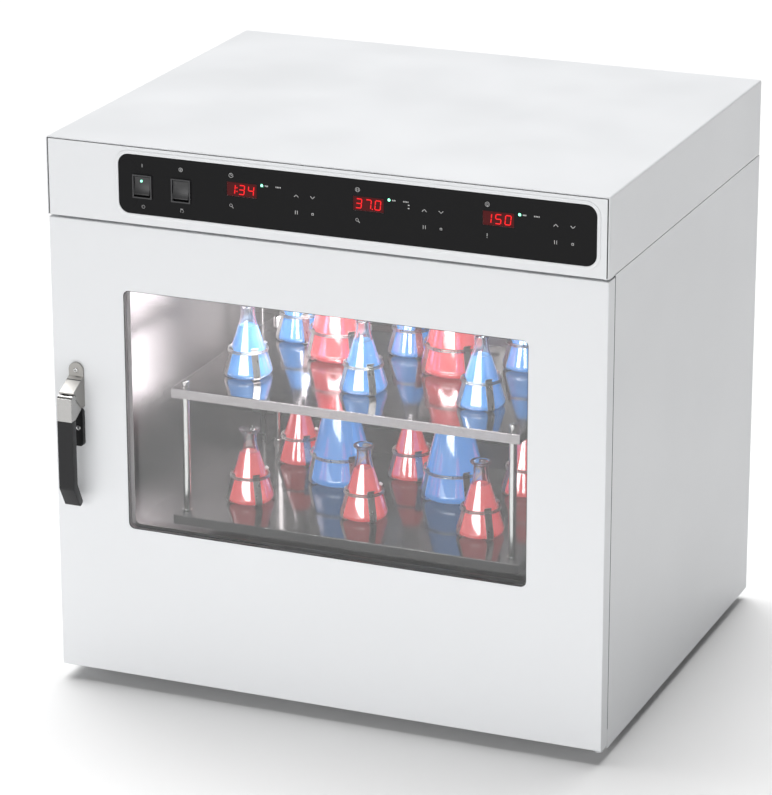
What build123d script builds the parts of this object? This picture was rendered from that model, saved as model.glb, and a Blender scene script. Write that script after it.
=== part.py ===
from build123d import *
import math
import os
from collections import namedtuple

# Incubated benchtop shaker, in millimetres. X runs to the right, Y to the rear and Z up. The origin is
# on the bench, in the middle of the object's width and of its depth from latch grip to inlet rim.

# ---- Cabinet ----
SIDE_THICKNESS = 52.0      # chamber wall to cabinet side
ROOF_THICKNESS = 40.8      # chamber ceiling to the top of the body
MACHINE_SPACE = 162.4      # cabinet's underside to chamber floor
REAR_SPACE = 74.0          # chamber's rear wall to rear panel
HOOD_HEIGHT = 96.1
SHEET = 1.2                # folded steel of cabinet, hood and door
SEAM = 1.0                 # groove between body and hood
SEAT_GAP = 0.3             # clearance of pieces that sit loosely beside each other
EDGE_ROUND = 2.5
RETURN_WIDTH = 13.0        # folded inner edges of the panels
FRAME_SHEET = 2.0          # front frame round the chamber mouth
PAN_RIM = 20.0
BODY_SETBACK = 25.0        # body front behind the hood front

# ---- Feet ----
FOOT_HEIGHT = 14.0
FOOT_RADIUS = 20.0
FOOT_TAPER = 3.0
FOOT_INSET = 85.0
FOOT_STUD = 4.0
STUD_GRIP = 6.0            # stud length above the pan

# ---- Door ----
DOOR_SETBACK = 2.0         # door face behind the hood front
DOOR_THICKNESS = 21.0
DOOR_REVEAL = 4.4          # body that shows below the door
DOOR_TOP_GAP = 3.0
INNER_SKIN = 1.0
WINDOW_SIDE = 43.5         # window edge inside the chamber's side wall
WINDOW_SILL = 34.7         # window's lower edge above the chamber floor
WINDOW_HEAD = 43.3         # window's upper edge below the chamber ceiling
WINDOW_ROUND = 7.5
PANE = 4.0
PANE_LAP = 12.0            # glass held behind the skin all round
SPACER_WIDTH = 9.0
GASKET_WIDTH = 16.0
GASKET_STEP = 6.0          # gasket's inner edge outside the chamber mouth

# ---- Door hinge ----
HINGE_EDGE = 6.0           # pin axis from the door's right edge
HINGE_DEPTH = 8.0          # pin axis behind the door face
HINGE_PIN = 3.0
PIN_GRIP = 12.0            # pin length inside the door
HINGE_PLATE = 2.5
HINGE_ARM = 12.0           # width of the hinge plate
HINGE_TAIL = 33.0          # plate length behind the body front
BUSH_BACK = 6.5            # bush behind the pin axis
RUNNING_FIT = 0.05

# ---- Latch ----
LATCH_INSET = 31.0         # latch centre from the door's left edge
LATCH_TOP = 397.0          # lug's top above the door's lower edge
LATCH_HALF_WIDTH = 9.5
LATCH_REACH = 36.0         # lever face in front of the door
LUG_SHEET = 3.0
LUG_HEIGHT = 17.0
BRACKET_REACH = 30.0
BRACKET_NOSE = 30.0        # bracket's front edge below the lug's top
BRACKET_LIP = 2.5
BRACKET_HEIGHT = 55.0
BRACKET_TOE = 9.3
SLIT = 0.9                 # parting gap between bracket and lever
LATCH_PIN = 2.0
LATCH_PIN_DROP = 6.0       # pin axis below the bracket's nose
LATCH_LIFT = 32.0          # degrees from shut to open
KNUCKLE = 6.0              # lever's round end about the pin
TONGUE_HALF_WIDTH = 4.0
TONGUE_ROUND = 3.4
HEAD_DROP = 65.0           # head's lower end below the lug's top
GRIP_HALF_WIDTH = 10.0
GRIP_THICKNESS = 10.0
GRIP_BEND = 151.0          # where the grip bends back, below the lug's top
GRIP_DROP = 177.5
GRIP_HOOK = 15.0           # how far the grip's end bends back
GRIP_END = 8.0             # thickness of the grip's end
GRIP_HEEL = 4.0
GRIP_ROUND = 1.3
CORE_LENGTH = 19.0         # lever's tenon inside the grip
CORE_COVER = 3.5
LATCH_BASE_TOP = 58.0
LATCH_BASE_DROP = 105.0
LATCH_BASE_THICKNESS = 6.0
LATCH_BASE_HALF = 9.0

# ---- Chamber ----
SIDE_ROOM = 60.0           # left of and right of the platforms' orbit
REAR_ROOM = 133.0          # behind the platforms, for the orbit and the air baffle
HEADROOM = 39.7            # above the tallest flask
LINER_SHEET = 1.2
LINER_FLANGE = 12.0
INSULATION_FLOOR = 25.0
INSULATION_REAR = 40.0

# ---- Platforms ----
PLATFORM_WIDTH = 450.0
PLATFORM_DEPTH = 300.0
PLATFORM_SHEET = 1.5
PLATFORM_FLANGE = 12.0
PLATFORM_SETBACK = 64.0    # platform's front edge behind the hood front
PLATFORM_RAISE = 36.3      # lower platform's top above the chamber floor
TIER_ROOM = 10.0           # above the tallest flask of the lower tier
POST_RADIUS = 4.8
POST_STUD = 3.0
POST_INSET = 13.0
NUT_RADIUS = 6.5
NUT_HEIGHT = 5.0
CAP_NUT_RADIUS = 5.0
CAP_NUT_HEIGHT = 8.0

# ---- Orbital drive ----
ORBIT_RADIUS = 15.0
SHAFT_RADIUS = 8.0
CRANK_PIN = 5.0
IDLER_CLEARANCE = 0.3      # radial play of the idler pins in the carriage
WEB_RADIUS = 26.0
WEB_THICKNESS = 8.0
WEB_RAISE = 3.6            # web above the chamber floor
PIN_HEIGHT = 15.0
BOSS_RADIUS = 16.0
CARRIAGE_PLATE = 6.0
CARRIAGE_SIDE = 45.0       # carriage plate inside the platform's sides
CARRIAGE_END = 35.0        # carriage plate inside the platform's front and rear
DRIVE_OFFSET = 50.0        # driven crank pin behind the platform's centre
IDLER_SPREAD = 140.0       # idler pins left and right of the centre
IDLER_OFFSET = 70.0        # idler pins in front of the centre
DECK_RAISE = 46.0          # deck's underside above the cabinet's underside
DECK_SHEET = 6.0
DECK_LEG = 5.0
DECK_HALF_WIDTH = 260.0
DECK_DEPTH = 320.0
HOUSING_HEIGHT = 74.0
HOUSING_WALL = 7.0
FLANGE_RADIUS = 38.0
FLANGE_THICKNESS = 8.0
BEARING_RADIUS = 16.0
BEARING_WIDTH = 9.0
BEARING_INSET = 2.0
PRESS_GAP = 0.02
SHAFT_HOLE = 14.0

MOTOR_X = -170.0
MOTOR_LEAD = 20.0          # motor axis behind the driven crank's axis
MOTOR_RADIUS = 46.0
MOTOR_HEIGHT = 76.0
MOTOR_SHAFT = 6.0
MOTOR_SHAFT_GRIP = 30.0
PULLEY_WIDTH = 14.0
PULLEY_DROP = 3.0          # pulleys below the deck
CRANK_PULLEY_RADIUS = 70.0
MOTOR_PULLEY_RADIUS = 22.0
PULLEY_FLANGE = 2.0
PULLEY_FLANGE_SHEET = 1.4
BELT_WIDTH = 10.0
BELT_THICKNESS = 3.0
WEIGHT_RADIUS = 58.0
WEIGHT_THICKNESS = 20.0
WEIGHT_HUB = 16.0

# ---- Air circulation ----
FAN_RAISE = 235.0          # fan axis above the chamber floor
FAN_RADIUS = 62.0
FAN_HUB = 14.0
FAN_WIDTH = 18.0
FAN_WALL_GAP = 8.0
FAN_SHAFT = 4.0
FAN_BLADES = 6
FAN_PITCH = 32.0
BLADE_SHEET = 1.6
FAN_MOTOR_RADIUS = 38.0
FAN_MOTOR_DEPTH = 24.0
HEATER_RADIUS = 80.0
HEATER_ROD = 4.0
BAFFLE_DEPTH = 34.0        # baffle in front of the rear wall
BAFFLE_GAP = 30.0          # air gap above and below the baffle
INTAKE_RADIUS = 50.0
INTAKE_SLOTS = 9
INTAKE_SLOT = 5.0
PROBE_RADIUS = 2.5
PROBE_COLLAR = 7.0
PROBE_INSET = 26.0         # probe from the chamber's left wall
PROBE_LEAD = 22.0          # probe in front of the baffle
LAMP_WIDTH = 360.0
LAMP_DEPTH = 16.0
LAMP_HEIGHT = 10.0
LAMP_LEAD = 16.0           # lamp behind the front frame

# ---- Hood front and controls ----
FASCIA_SHEET = 1.5
FASCIA_GAP = 0.6
FASCIA_RETURN = 60.0
FILM_LEFT = 94.5           # film from the hood's left side
FILM_RIGHT = 14.5          # film from the hood's right side
FILM_HEIGHT = 72.0
FILM_ROUND = 13.5
FILM_SHEET = 0.6
FILM_RISE = 49.3           # film's middle above the top of the body
MODULE_PITCH = 159.0
MODULE_COUNT = 3
DISPLAY_LEAD = 158.8       # first display from the film's left end
DISPLAY_RISE = 56.7
DISPLAY_WIDTH = 37.4
DISPLAY_HEIGHT = 16.2
DISPLAY_DEPTH = 12.0
SHOULDER = 1.2             # display and lamp bodies wider than their openings
LED_LEAD = 25.5
LED_RISE = 64.7
LED_RADIUS = 1.5
BOARD_SHEET = 1.6
BOARD_LEAD = 120.0         # board from the film's left end
BOARD_INSET = 12.0         # board from the film's right end
BOARD_HEIGHT = 60.0
ROCKER_LEAD = 31.1         # first rocker from the film's left end
ROCKER_PITCH = 49.9
ROCKER_RISE = 47.2
BEZEL_WIDTH = 24.6
BEZEL_HEIGHT = 28.4
BEZEL_PROUD = 2.0
BEZEL_DEPTH = 17.0
BEZEL_WALL = 1.6
BEZEL_LIP = 1.2
ROCKER_HALF_HEIGHT = 10.7
ROCKER_REACH = 11.0        # rocker's ends in front of its pin
ROCKER_DISH = 9.0
ROCKER_PIVOT = 8.0         # pin behind the hood front
ROCKER_TILT = 8.0          # degrees either side of level
ROCKER_PIN = 1.5
SIDE_PLAY = 0.3

# ---- Rear panel ----
INLET_INSET = 112.0        # inlet from the cabinet's right side
INLET_RAISE = 66.0
INLET_WIDTH = 28.0
INLET_HEIGHT = 20.0
INLET_DEPTH = 20.0
INLET_RIM = 2.0
INLET_FLANGE = 10.0
INLET_WALL = 2.0
SOCKET_DEPTH = 16.0
BLADE_PITCH = 7.0
BLADE_WIDTH = 4.0
BLADE_LENGTH = 9.6
VENT_COUNT = 12
VENT_PITCH = 14.0
VENT_WIDTH = 5.0
VENT_HEIGHT = 60.0
SCREW_HEAD = 4.0
SCREW_HEIGHT = 1.6
SCREW_SHANK = 1.6
SCREW_GRIP = 5.0
SCREW_EDGE = 9.0
TAB_RISE = 36.0            # rear panel's tab inside the hood

# ---- Flasks and clamps ----
SMALL_RADIUS = 29.0
SMALL_HEIGHT = 92.0
SMALL_NECK = 8.8
SMALL_LIP = 13.0
SMALL_SHOULDER = 66.0      # height at which the cone meets the neck
SMALL_HEEL = 6.0
SMALL_LEVEL = 63.0         # surface of the medium
SMALL_RING = 35.0          # height of the clamp's ring
SMALL_ARM = 44.0           # height of the clamp's arms
LARGE_RADIUS = 41.5
LARGE_HEIGHT = 140.0
LARGE_NECK = 16.6
LARGE_LIP = 22.0
LARGE_SHOULDER = 104.0
LARGE_HEEL = 9.0
LARGE_LEVEL = 92.0
LARGE_RING = 38.0
LARGE_ARM = 50.0
FLASK_WALL = 1.8
SHOULDER_ROUND = 50.0
LIP_HEIGHT = 6.0
LIP_EDGE = 1.2
FLASK_PITCH = 152.0
FLASK_X = -7.0             # middle flask of the small rows
SMALL_ROWS = (82.0, 236.0) # rows behind the platform's front edge
LARGE_ROW = 190.0
CLAMP_SHEET = 1.0
CLAMP_ARM = 6.0
CLAMP_GAP = 0.4
CLAW = 4.0
RING_WIRE = 0.9

# ---- Sizes and places that follow ----
Flask = namedtuple("Flask", "radius height neck lip shoulder heel level ring arm")
SMALL_FLASK = Flask(SMALL_RADIUS, SMALL_HEIGHT, SMALL_NECK, SMALL_LIP, SMALL_SHOULDER, SMALL_HEEL,
                    SMALL_LEVEL, SMALL_RING, SMALL_ARM)
LARGE_FLASK = Flask(LARGE_RADIUS, LARGE_HEIGHT, LARGE_NECK, LARGE_LIP, LARGE_SHOULDER, LARGE_HEEL,
                    LARGE_LEVEL, LARGE_RING, LARGE_ARM)
FLASK_RISE = CLAMP_SHEET + LARGE_HEIGHT
TIER_PITCH = FLASK_RISE + TIER_ROOM + PLATFORM_FLANGE
CHAMBER_HEIGHT = PLATFORM_RAISE + TIER_PITCH + FLASK_RISE + HEADROOM
CHAMBER_REAR = PLATFORM_SETBACK + PLATFORM_DEPTH + REAR_ROOM
BODY_HEIGHT = MACHINE_SPACE + CHAMBER_HEIGHT + ROOF_THICKNESS
CABINET_DEPTH = CHAMBER_REAR + REAR_SPACE
CHAMBER_HALF = PLATFORM_WIDTH / 2 + ORBIT_RADIUS + SIDE_ROOM
HALF_WIDTH = CHAMBER_HALF + SIDE_THICKNESS
INSIDE = HALF_WIDTH - SHEET
LATCH_PROUD = LATCH_REACH - DOOR_SETBACK
FRONT = LATCH_PROUD - (LATCH_PROUD + CABINET_DEPTH + INLET_RIM) / 2
REAR = FRONT + CABINET_DEPTH
BODY_FRONT = FRONT + BODY_SETBACK
FRAME_FACE = BODY_FRONT + SHEET
FRAME_BACK = FRAME_FACE + FRAME_SHEET
DOOR_FACE = FRONT + DOOR_SETBACK
DOOR_BACK = DOOR_FACE + DOOR_THICKNESS

BODY_BOTTOM = FOOT_HEIGHT
PAN_TOP = BODY_BOTTOM + SHEET
BODY_TOP = BODY_BOTTOM + BODY_HEIGHT
PANEL_TOP = BODY_TOP - SEAM / 2
HOOD_BOTTOM = BODY_TOP + SEAM / 2
HOOD_TOP = BODY_TOP + HOOD_HEIGHT
FRAME_BOTTOM = PAN_TOP + HINGE_PLATE + SEAT_GAP
FRAME_TOP = HOOD_BOTTOM - HINGE_PLATE
DOOR_BOTTOM = BODY_BOTTOM + DOOR_REVEAL
DOOR_TOP = BODY_TOP - DOOR_TOP_GAP

HINGE_X = HALF_WIDTH - HINGE_EDGE
HINGE_Y = DOOR_FACE + HINGE_DEPTH
LATCH_X = LATCH_INSET - HALF_WIDTH
LATCH_Z = DOOR_BOTTOM + LATCH_TOP

CHAMBER_FLOOR = BODY_BOTTOM + MACHINE_SPACE
CHAMBER_TOP = CHAMBER_FLOOR + CHAMBER_HEIGHT
WINDOW_WIDTH = 2 * (CHAMBER_HALF - WINDOW_SIDE)
WINDOW_HEIGHT = CHAMBER_HEIGHT - WINDOW_SILL - WINDOW_HEAD
WINDOW_Z = CHAMBER_FLOOR + WINDOW_SILL + WINDOW_HEIGHT / 2
CHAMBER_BACK = FRONT + CHAMBER_REAR
LINER_OUT = CHAMBER_HALF + LINER_SHEET
LINER_BACK = CHAMBER_BACK + LINER_SHEET
INSULATION_BOTTOM = CHAMBER_FLOOR - LINER_SHEET - INSULATION_FLOOR
INSULATION_TOP = PANEL_TOP - SHEET - SEAT_GAP
INSULATION_BACK = LINER_BACK + INSULATION_REAR

PLATFORM_HALF = PLATFORM_WIDTH / 2
PLATFORM_FRONT = FRONT + PLATFORM_SETBACK
PLATFORM_Y = PLATFORM_FRONT + PLATFORM_DEPTH / 2
LOWER_TOP = CHAMBER_FLOOR + PLATFORM_RAISE
UPPER_TOP = LOWER_TOP + TIER_PITCH
TIERS = (LOWER_TOP, UPPER_TOP)
POSTS = [(sx * (PLATFORM_HALF - POST_INSET), PLATFORM_Y + sy * (PLATFORM_DEPTH / 2 - POST_INSET))
         for sx in (-1, 1) for sy in (-1, 1)]

WEB_BOTTOM = CHAMBER_FLOOR + WEB_RAISE
WEB_TOP = WEB_BOTTOM + WEB_THICKNESS
CARRIAGE_TOP = LOWER_TOP - PLATFORM_SHEET
DRIVE_PIN = (0.0, PLATFORM_Y + DRIVE_OFFSET)
IDLER_PINS = [(side * IDLER_SPREAD, PLATFORM_Y - IDLER_OFFSET) for side in (-1, 1)]
DRIVE_AXIS = (DRIVE_PIN[0], DRIVE_PIN[1] + ORBIT_RADIUS)
IDLER_AXES = [(x, y + ORBIT_RADIUS) for x, y in IDLER_PINS]
DECK_BOTTOM = BODY_BOTTOM + DECK_RAISE
DECK_TOP = DECK_BOTTOM + DECK_SHEET
DECK_FRONT = PLATFORM_Y + ORBIT_RADIUS - DECK_DEPTH / 2
HOUSING_TOP = DECK_TOP + HOUSING_HEIGHT
MOTOR_AXIS = (MOTOR_X, DRIVE_AXIS[1] + MOTOR_LEAD)
PULLEY_TOP = DECK_BOTTOM - PULLEY_DROP
PULLEY_BOTTOM = PULLEY_TOP - PULLEY_WIDTH

BAFFLE_Y = CHAMBER_BACK - BAFFLE_DEPTH
FAN_Z = CHAMBER_FLOOR + FAN_RAISE
FAN_BACK = CHAMBER_BACK - FAN_WALL_GAP
HEATER_Y = FAN_BACK - FAN_WIDTH / 2

FASCIA_HALF = INSIDE - FASCIA_GAP
FILM_START = FILM_LEFT - HALF_WIDTH
FILM_END = HALF_WIDTH - FILM_RIGHT
FILM_WIDTH = FILM_END - FILM_START
FILM_X = (FILM_START + FILM_END) / 2
FILM_Z = BODY_TOP + FILM_RISE
DISPLAY_Z = BODY_TOP + DISPLAY_RISE
LED_Z = BODY_TOP + LED_RISE
ROCKER_Z = BODY_TOP + ROCKER_RISE
DISPLAYS = [FILM_START + DISPLAY_LEAD + index * MODULE_PITCH for index in range(MODULE_COUNT)]
ROCKER_X = [FILM_START + ROCKER_LEAD + index * ROCKER_PITCH for index in range(2)]
INLET_X = HALF_WIDTH - INLET_INSET
INLET_Z = BODY_BOTTOM + INLET_RAISE
PROBE_X = PROBE_INSET - CHAMBER_HALF
CARRIAGE_HALF_WIDTH = PLATFORM_HALF - CARRIAGE_SIDE
CARRIAGE_HALF_DEPTH = PLATFORM_DEPTH / 2 - CARRIAGE_END

SMALL_SPOTS = [(FLASK_X + step * FLASK_PITCH, PLATFORM_FRONT + row)
               for row in SMALL_ROWS for step in (-1, 0, 1)]
LARGE_SPOTS = [(FLASK_X + (step + 0.5) * FLASK_PITCH, PLATFORM_FRONT + LARGE_ROW) for step in (-1, 0)]


# ---- Shapes used by many pieces ----
def block(x0, x1, y0, y1, z0, z1):
    """Box between two corners."""
    return Pos((x0 + x1) / 2, (y0 + y1) / 2, (z0 + z1) / 2) * Box(x1 - x0, y1 - y0, z1 - z0)


def upright(x, y, z0, z1, radius):
    """Cylinder along Z."""
    return Pos(x, y, (z0 + z1) / 2) * Cylinder(radius, z1 - z0)


def crosswise(y, z, x0, x1, radius):
    """Cylinder along X."""
    return Pos((x0 + x1) / 2, y, z) * Rot(0, 90, 0) * Cylinder(radius, x1 - x0)


def lengthwise(x, z, y0, y1, radius):
    """Cylinder along Y."""
    return Pos(x, (y0 + y1) / 2, z) * Rot(90, 0, 0) * Cylinder(radius, y1 - y0)


def front_plate(sketch, y0, y1):
    """Plate cut to a sketch drawn in X and Z, between two depths."""
    return extrude(Plane.XZ.offset(-y0) * sketch, amount=y1 - y0, dir=(0, 1, 0))


def side_plate(points, x0, x1):
    """Plate cut to an outline of (Y, Z) points, between two widths."""
    return extrude(Plane.YZ.offset(x0) * Polygon(*points, align=None), amount=x1 - x0, dir=(1, 0, 0))


def window_shape(margin):
    """Rounded window outline, grown by a margin."""
    return Pos(0, WINDOW_Z) * RectangleRounded(WINDOW_WIDTH + 2 * margin, WINDOW_HEIGHT + 2 * margin,
                                               WINDOW_ROUND + max(margin, 0))


def group(solids):
    """Separate solids kept together under one name."""
    return Compound(children=list(solids))


# ---- Cabinet ----
def base_pan():
    back = REAR - 2 * SHEET
    pan = block(-INSIDE, INSIDE, BODY_FRONT, back, BODY_BOTTOM, PAN_TOP)
    rim_top = PAN_TOP + PAN_RIM
    for side in (-1, 1):
        inner, outer = sorted((side * (INSIDE - SHEET), side * INSIDE))
        pan += block(inner, outer, BODY_FRONT + HINGE_TAIL + SEAT_GAP, back, PAN_TOP, rim_top)
    pan += block(-INSIDE, INSIDE - HINGE_ARM - SEAT_GAP, BODY_FRONT, FRAME_FACE, PAN_TOP,
                 FRAME_BOTTOM - SEAT_GAP)
    rim_half = INSIDE - 2 * RETURN_WIDTH
    pan += block(-rim_half, rim_half, FRAME_BACK, FRAME_BACK + SHEET, PAN_TOP, rim_top)
    pan += block(-rim_half, rim_half, back - SHEET, back, PAN_TOP, rim_top)
    for x, y in foot_spots():
        pan -= upright(x, y, BODY_BOTTOM - 1, PAN_TOP + 1, FOOT_STUD + SEAT_GAP)
    return pan


def foot_spots():
    return [(sx * (HALF_WIDTH - FOOT_INSET), y) for sx in (-1, 1)
            for y in (BODY_FRONT + FOOT_INSET, REAR - FOOT_INSET)]


def feet():
    pieces = []
    for x, y in foot_spots():
        pad = Pos(x, y, FOOT_HEIGHT / 2) * Cone(FOOT_RADIUS, FOOT_RADIUS - FOOT_TAPER, FOOT_HEIGHT)
        pieces.append(pad + upright(x, y, FOOT_HEIGHT, PAN_TOP + STUD_GRIP, FOOT_STUD))
    return group(pieces)


def side_panel(side):
    """Outer sheet with its folded front, rear and top edges; side is -1 or 1."""
    def strip(inner, outer, y0, y1, z0, z1):
        x0, x1 = sorted((side * inner, side * outer))
        return block(x0, x1, y0, y1, z0, z1)

    folded = INSIDE - RETURN_WIDTH
    sheet = strip(INSIDE, HALF_WIDTH, BODY_FRONT, REAR, BODY_BOTTOM, PANEL_TOP)
    sheet = fillet([edge for edge in sheet.edges().filter_by(Axis.Z)
                    if abs(abs(edge.center().X) - HALF_WIDTH) < SHEET / 2], SHEET * 0.6)
    front = strip(folded, INSIDE, BODY_FRONT, FRAME_FACE, FRAME_BOTTOM, FRAME_TOP)
    rear = strip(folded, INSIDE, REAR - 2 * SHEET, REAR - SHEET, PAN_TOP, PANEL_TOP)
    top_front = BODY_FRONT + HINGE_TAIL + SHEET
    top = strip(folded, INSIDE, top_front, REAR - 2 * SHEET, PANEL_TOP - SHEET, PANEL_TOP)
    panel = sheet + front + rear + top
    for x, z in panel_screws():
        panel -= lengthwise(x, z, REAR - 3 * SHEET, REAR, SCREW_SHANK)
    return panel


def rear_panel():
    panel = block(-INSIDE, INSIDE, REAR - SHEET, REAR, BODY_BOTTOM, PANEL_TOP)
    vents_left = -(VENT_COUNT - 1) * VENT_PITCH / 2
    for index in range(VENT_COUNT):
        slot = Pos(vents_left + index * VENT_PITCH, INLET_Z) * SlotOverall(VENT_HEIGHT, VENT_WIDTH, 90)
        panel -= front_plate(slot, REAR - 2 * SHEET, REAR + 1)
    panel -= block(INLET_X - INLET_WIDTH / 2 - SEAT_GAP, INLET_X + INLET_WIDTH / 2 + SEAT_GAP,
                   REAR - 2 * SHEET, REAR + 1,
                   INLET_Z - INLET_HEIGHT / 2 - SEAT_GAP, INLET_Z + INLET_HEIGHT / 2 + SEAT_GAP)
    half = INSIDE - RETURN_WIDTH - SEAT_GAP
    panel += block(-half, half, REAR - 2 * SHEET, REAR - SHEET, PANEL_TOP - RETURN_WIDTH, HOOD_BOTTOM + TAB_RISE)
    for x, z in panel_screws():
        panel -= lengthwise(x, z, REAR - 2 * SHEET, REAR + 1, SCREW_SHANK + SEAT_GAP)
    for x, z in hood_screws():
        panel -= lengthwise(x, z, REAR - 3 * SHEET, REAR, SCREW_SHANK)
    return panel


def front_frame():
    frame = block(-INSIDE, INSIDE, FRAME_FACE, FRAME_BACK, FRAME_BOTTOM, FRAME_TOP)
    return frame - block(-CHAMBER_HALF, CHAMBER_HALF, FRAME_FACE - 1, FRAME_BACK + 1,
                         CHAMBER_FLOOR, CHAMBER_TOP)


def panel_screws():
    """Rear panel screws, up both edges."""
    low, high = BODY_BOTTOM + 2 * PAN_RIM, PANEL_TOP - 2 * PAN_RIM
    middle = (low + high) / 2
    return [(side * (INSIDE - SCREW_EDGE), z) for side in (-1, 1) for z in (low, middle, high)]


def hood_screws():
    """Hood screws, low on its rear face, into the rear panel's tab."""
    z = HOOD_BOTTOM + TAB_RISE / 2
    return [(step * INSIDE * 2 / 3, z) for step in (-1, 0, 1)]


def cover_screws():
    pieces = []
    for x, z in panel_screws() + hood_screws():
        head = lengthwise(x, z, REAR, REAR + SCREW_HEIGHT, SCREW_HEAD)
        pieces.append(head + lengthwise(x, z, REAR - SCREW_GRIP, REAR, SCREW_SHANK))
    return group(pieces)


# ---- Hood ----
def hood_cover():
    """Folded sheet over the top, both sides and the rear, with inner flanges that rest on the body."""
    hood = block(-HALF_WIDTH, HALF_WIDTH, FRONT, REAR, HOOD_BOTTOM, HOOD_TOP)
    rounded = [edge for edge in hood.edges()
               if edge.center().Z > HOOD_TOP - 1 and edge.center().Y > FRONT + 1]
    rounded += [edge for edge in hood.edges().filter_by(Axis.Z) if edge.center().Y > REAR - 1]
    hood = fillet(rounded, EDGE_ROUND)
    inner_round = EDGE_ROUND - SHEET
    past = 4 * EDGE_ROUND
    void = block(-INSIDE, INSIDE, FRONT - past, REAR - SHEET, HOOD_BOTTOM - past, HOOD_TOP - SHEET)
    void_edges = [edge for edge in void.edges()
                  if edge.center().Z > HOOD_TOP - 2 * SHEET and edge.center().Y > FRONT - past / 2]
    hood -= fillet(void_edges, inner_round)
    flange_top = HOOD_BOTTOM + SHEET
    flange_front = FRONT + FASCIA_RETURN + SHEET
    for side in (-1, 1):
        x0, x1 = sorted((side * (INSIDE - RETURN_WIDTH), side * INSIDE))
        hood += block(x0, x1, flange_front, REAR - 2 * SHEET, PANEL_TOP, flange_top)
    for x, z in hood_screws():
        hood -= lengthwise(x, z, REAR - 2 * SHEET, REAR + 1, SCREW_SHANK + SEAT_GAP)
    return hood


def film_shape(grow):
    return Pos(FILM_X, FILM_Z) * RectangleRounded(FILM_WIDTH + 2 * grow, FILM_HEIGHT + 2 * grow,
                                                  FILM_ROUND + grow)


def display_shape(x, grow):
    return Pos(x, DISPLAY_Z) * Rectangle(DISPLAY_WIDTH + 2 * grow, DISPLAY_HEIGHT + 2 * grow)


def bezel_shape(x, shrink):
    return Pos(x, ROCKER_Z) * Rectangle(BEZEL_WIDTH - 2 * shrink, BEZEL_HEIGHT - 2 * shrink)


def hood_fascia():
    """Inset front panel with a shallow pocket for the film and a wide return below."""
    top = HOOD_TOP - SHEET - FASCIA_GAP
    back = FRONT + FASCIA_SHEET
    panel = block(-FASCIA_HALF, FASCIA_HALF, FRONT, back, HOOD_BOTTOM, top)
    panel += block(-FASCIA_HALF, FASCIA_HALF, back, FRONT + FASCIA_RETURN, HOOD_BOTTOM, HOOD_BOTTOM + SHEET)
    for side in (-1, 1):
        x0, x1 = sorted((side * (FASCIA_HALF - SHEET), side * FASCIA_HALF))
        panel += block(x0, x1, back, back + RETURN_WIDTH, HOOD_BOTTOM + SHEET, top)
    panel += block(-FASCIA_HALF, FASCIA_HALF, back, back + RETURN_WIDTH, top - SHEET, top)
    panel -= front_plate(film_shape(0.05), FRONT - 1, FRONT + FILM_SHEET)
    for x in DISPLAYS:
        panel -= front_plate(display_shape(x, SEAT_GAP), FRONT - 1, back + 1)
        panel -= lengthwise(x + LED_LEAD, LED_Z, FRONT - 1, back + 1, LED_RADIUS + SEAT_GAP)
    for x in ROCKER_X:
        panel -= front_plate(bezel_shape(x, BEZEL_LIP - SEAT_GAP), FRONT - 1, back + 1)
    return panel


def control_film():
    film = front_plate(film_shape(0), FRONT, FRONT + FILM_SHEET)
    for x in DISPLAYS:
        film -= front_plate(display_shape(x, SEAT_GAP), FRONT - 1, FRONT + 1)
        film -= lengthwise(x + LED_LEAD, LED_Z, FRONT - 1, FRONT + 1, LED_RADIUS + SEAT_GAP)
    for x in ROCKER_X:
        film -= front_plate(bezel_shape(x, BEZEL_LIP - SEAT_GAP), FRONT - 1, FRONT + 1)
    return film


def display_modules():
    """Number displays, each with a shoulder behind the hood front."""
    back = FRONT + FASCIA_SHEET
    return group(front_plate(display_shape(x, 0), FRONT, back)
                 + front_plate(display_shape(x, SHOULDER), back, FRONT + DISPLAY_DEPTH) for x in DISPLAYS)


def indicator_leds():
    """Lamps, each with a collar behind the hood front."""
    back = FRONT + FASCIA_SHEET
    return group(lengthwise(x + LED_LEAD, LED_Z, FRONT, back, LED_RADIUS)
                 + lengthwise(x + LED_LEAD, LED_Z, back, FRONT + DISPLAY_DEPTH, LED_RADIUS + SHOULDER)
                 for x in DISPLAYS)


def control_board():
    """Circuit board that carries the displays and lamps, with its larger parts behind."""
    y0 = FRONT + DISPLAY_DEPTH
    y1 = y0 + BOARD_SHEET
    board = block(FILM_START + BOARD_LEAD, FILM_END - BOARD_INSET, y0, y1,
                  FILM_Z - BOARD_HEIGHT / 2, FILM_Z + BOARD_HEIGHT / 2)
    for x in DISPLAYS:
        board += block(x - DISPLAY_HEIGHT, x + DISPLAY_HEIGHT, y1, y1 + 3 * BOARD_SHEET,
                       FILM_Z - DISPLAY_HEIGHT, FILM_Z + DISPLAY_HEIGHT / 2)
    return board


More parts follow.
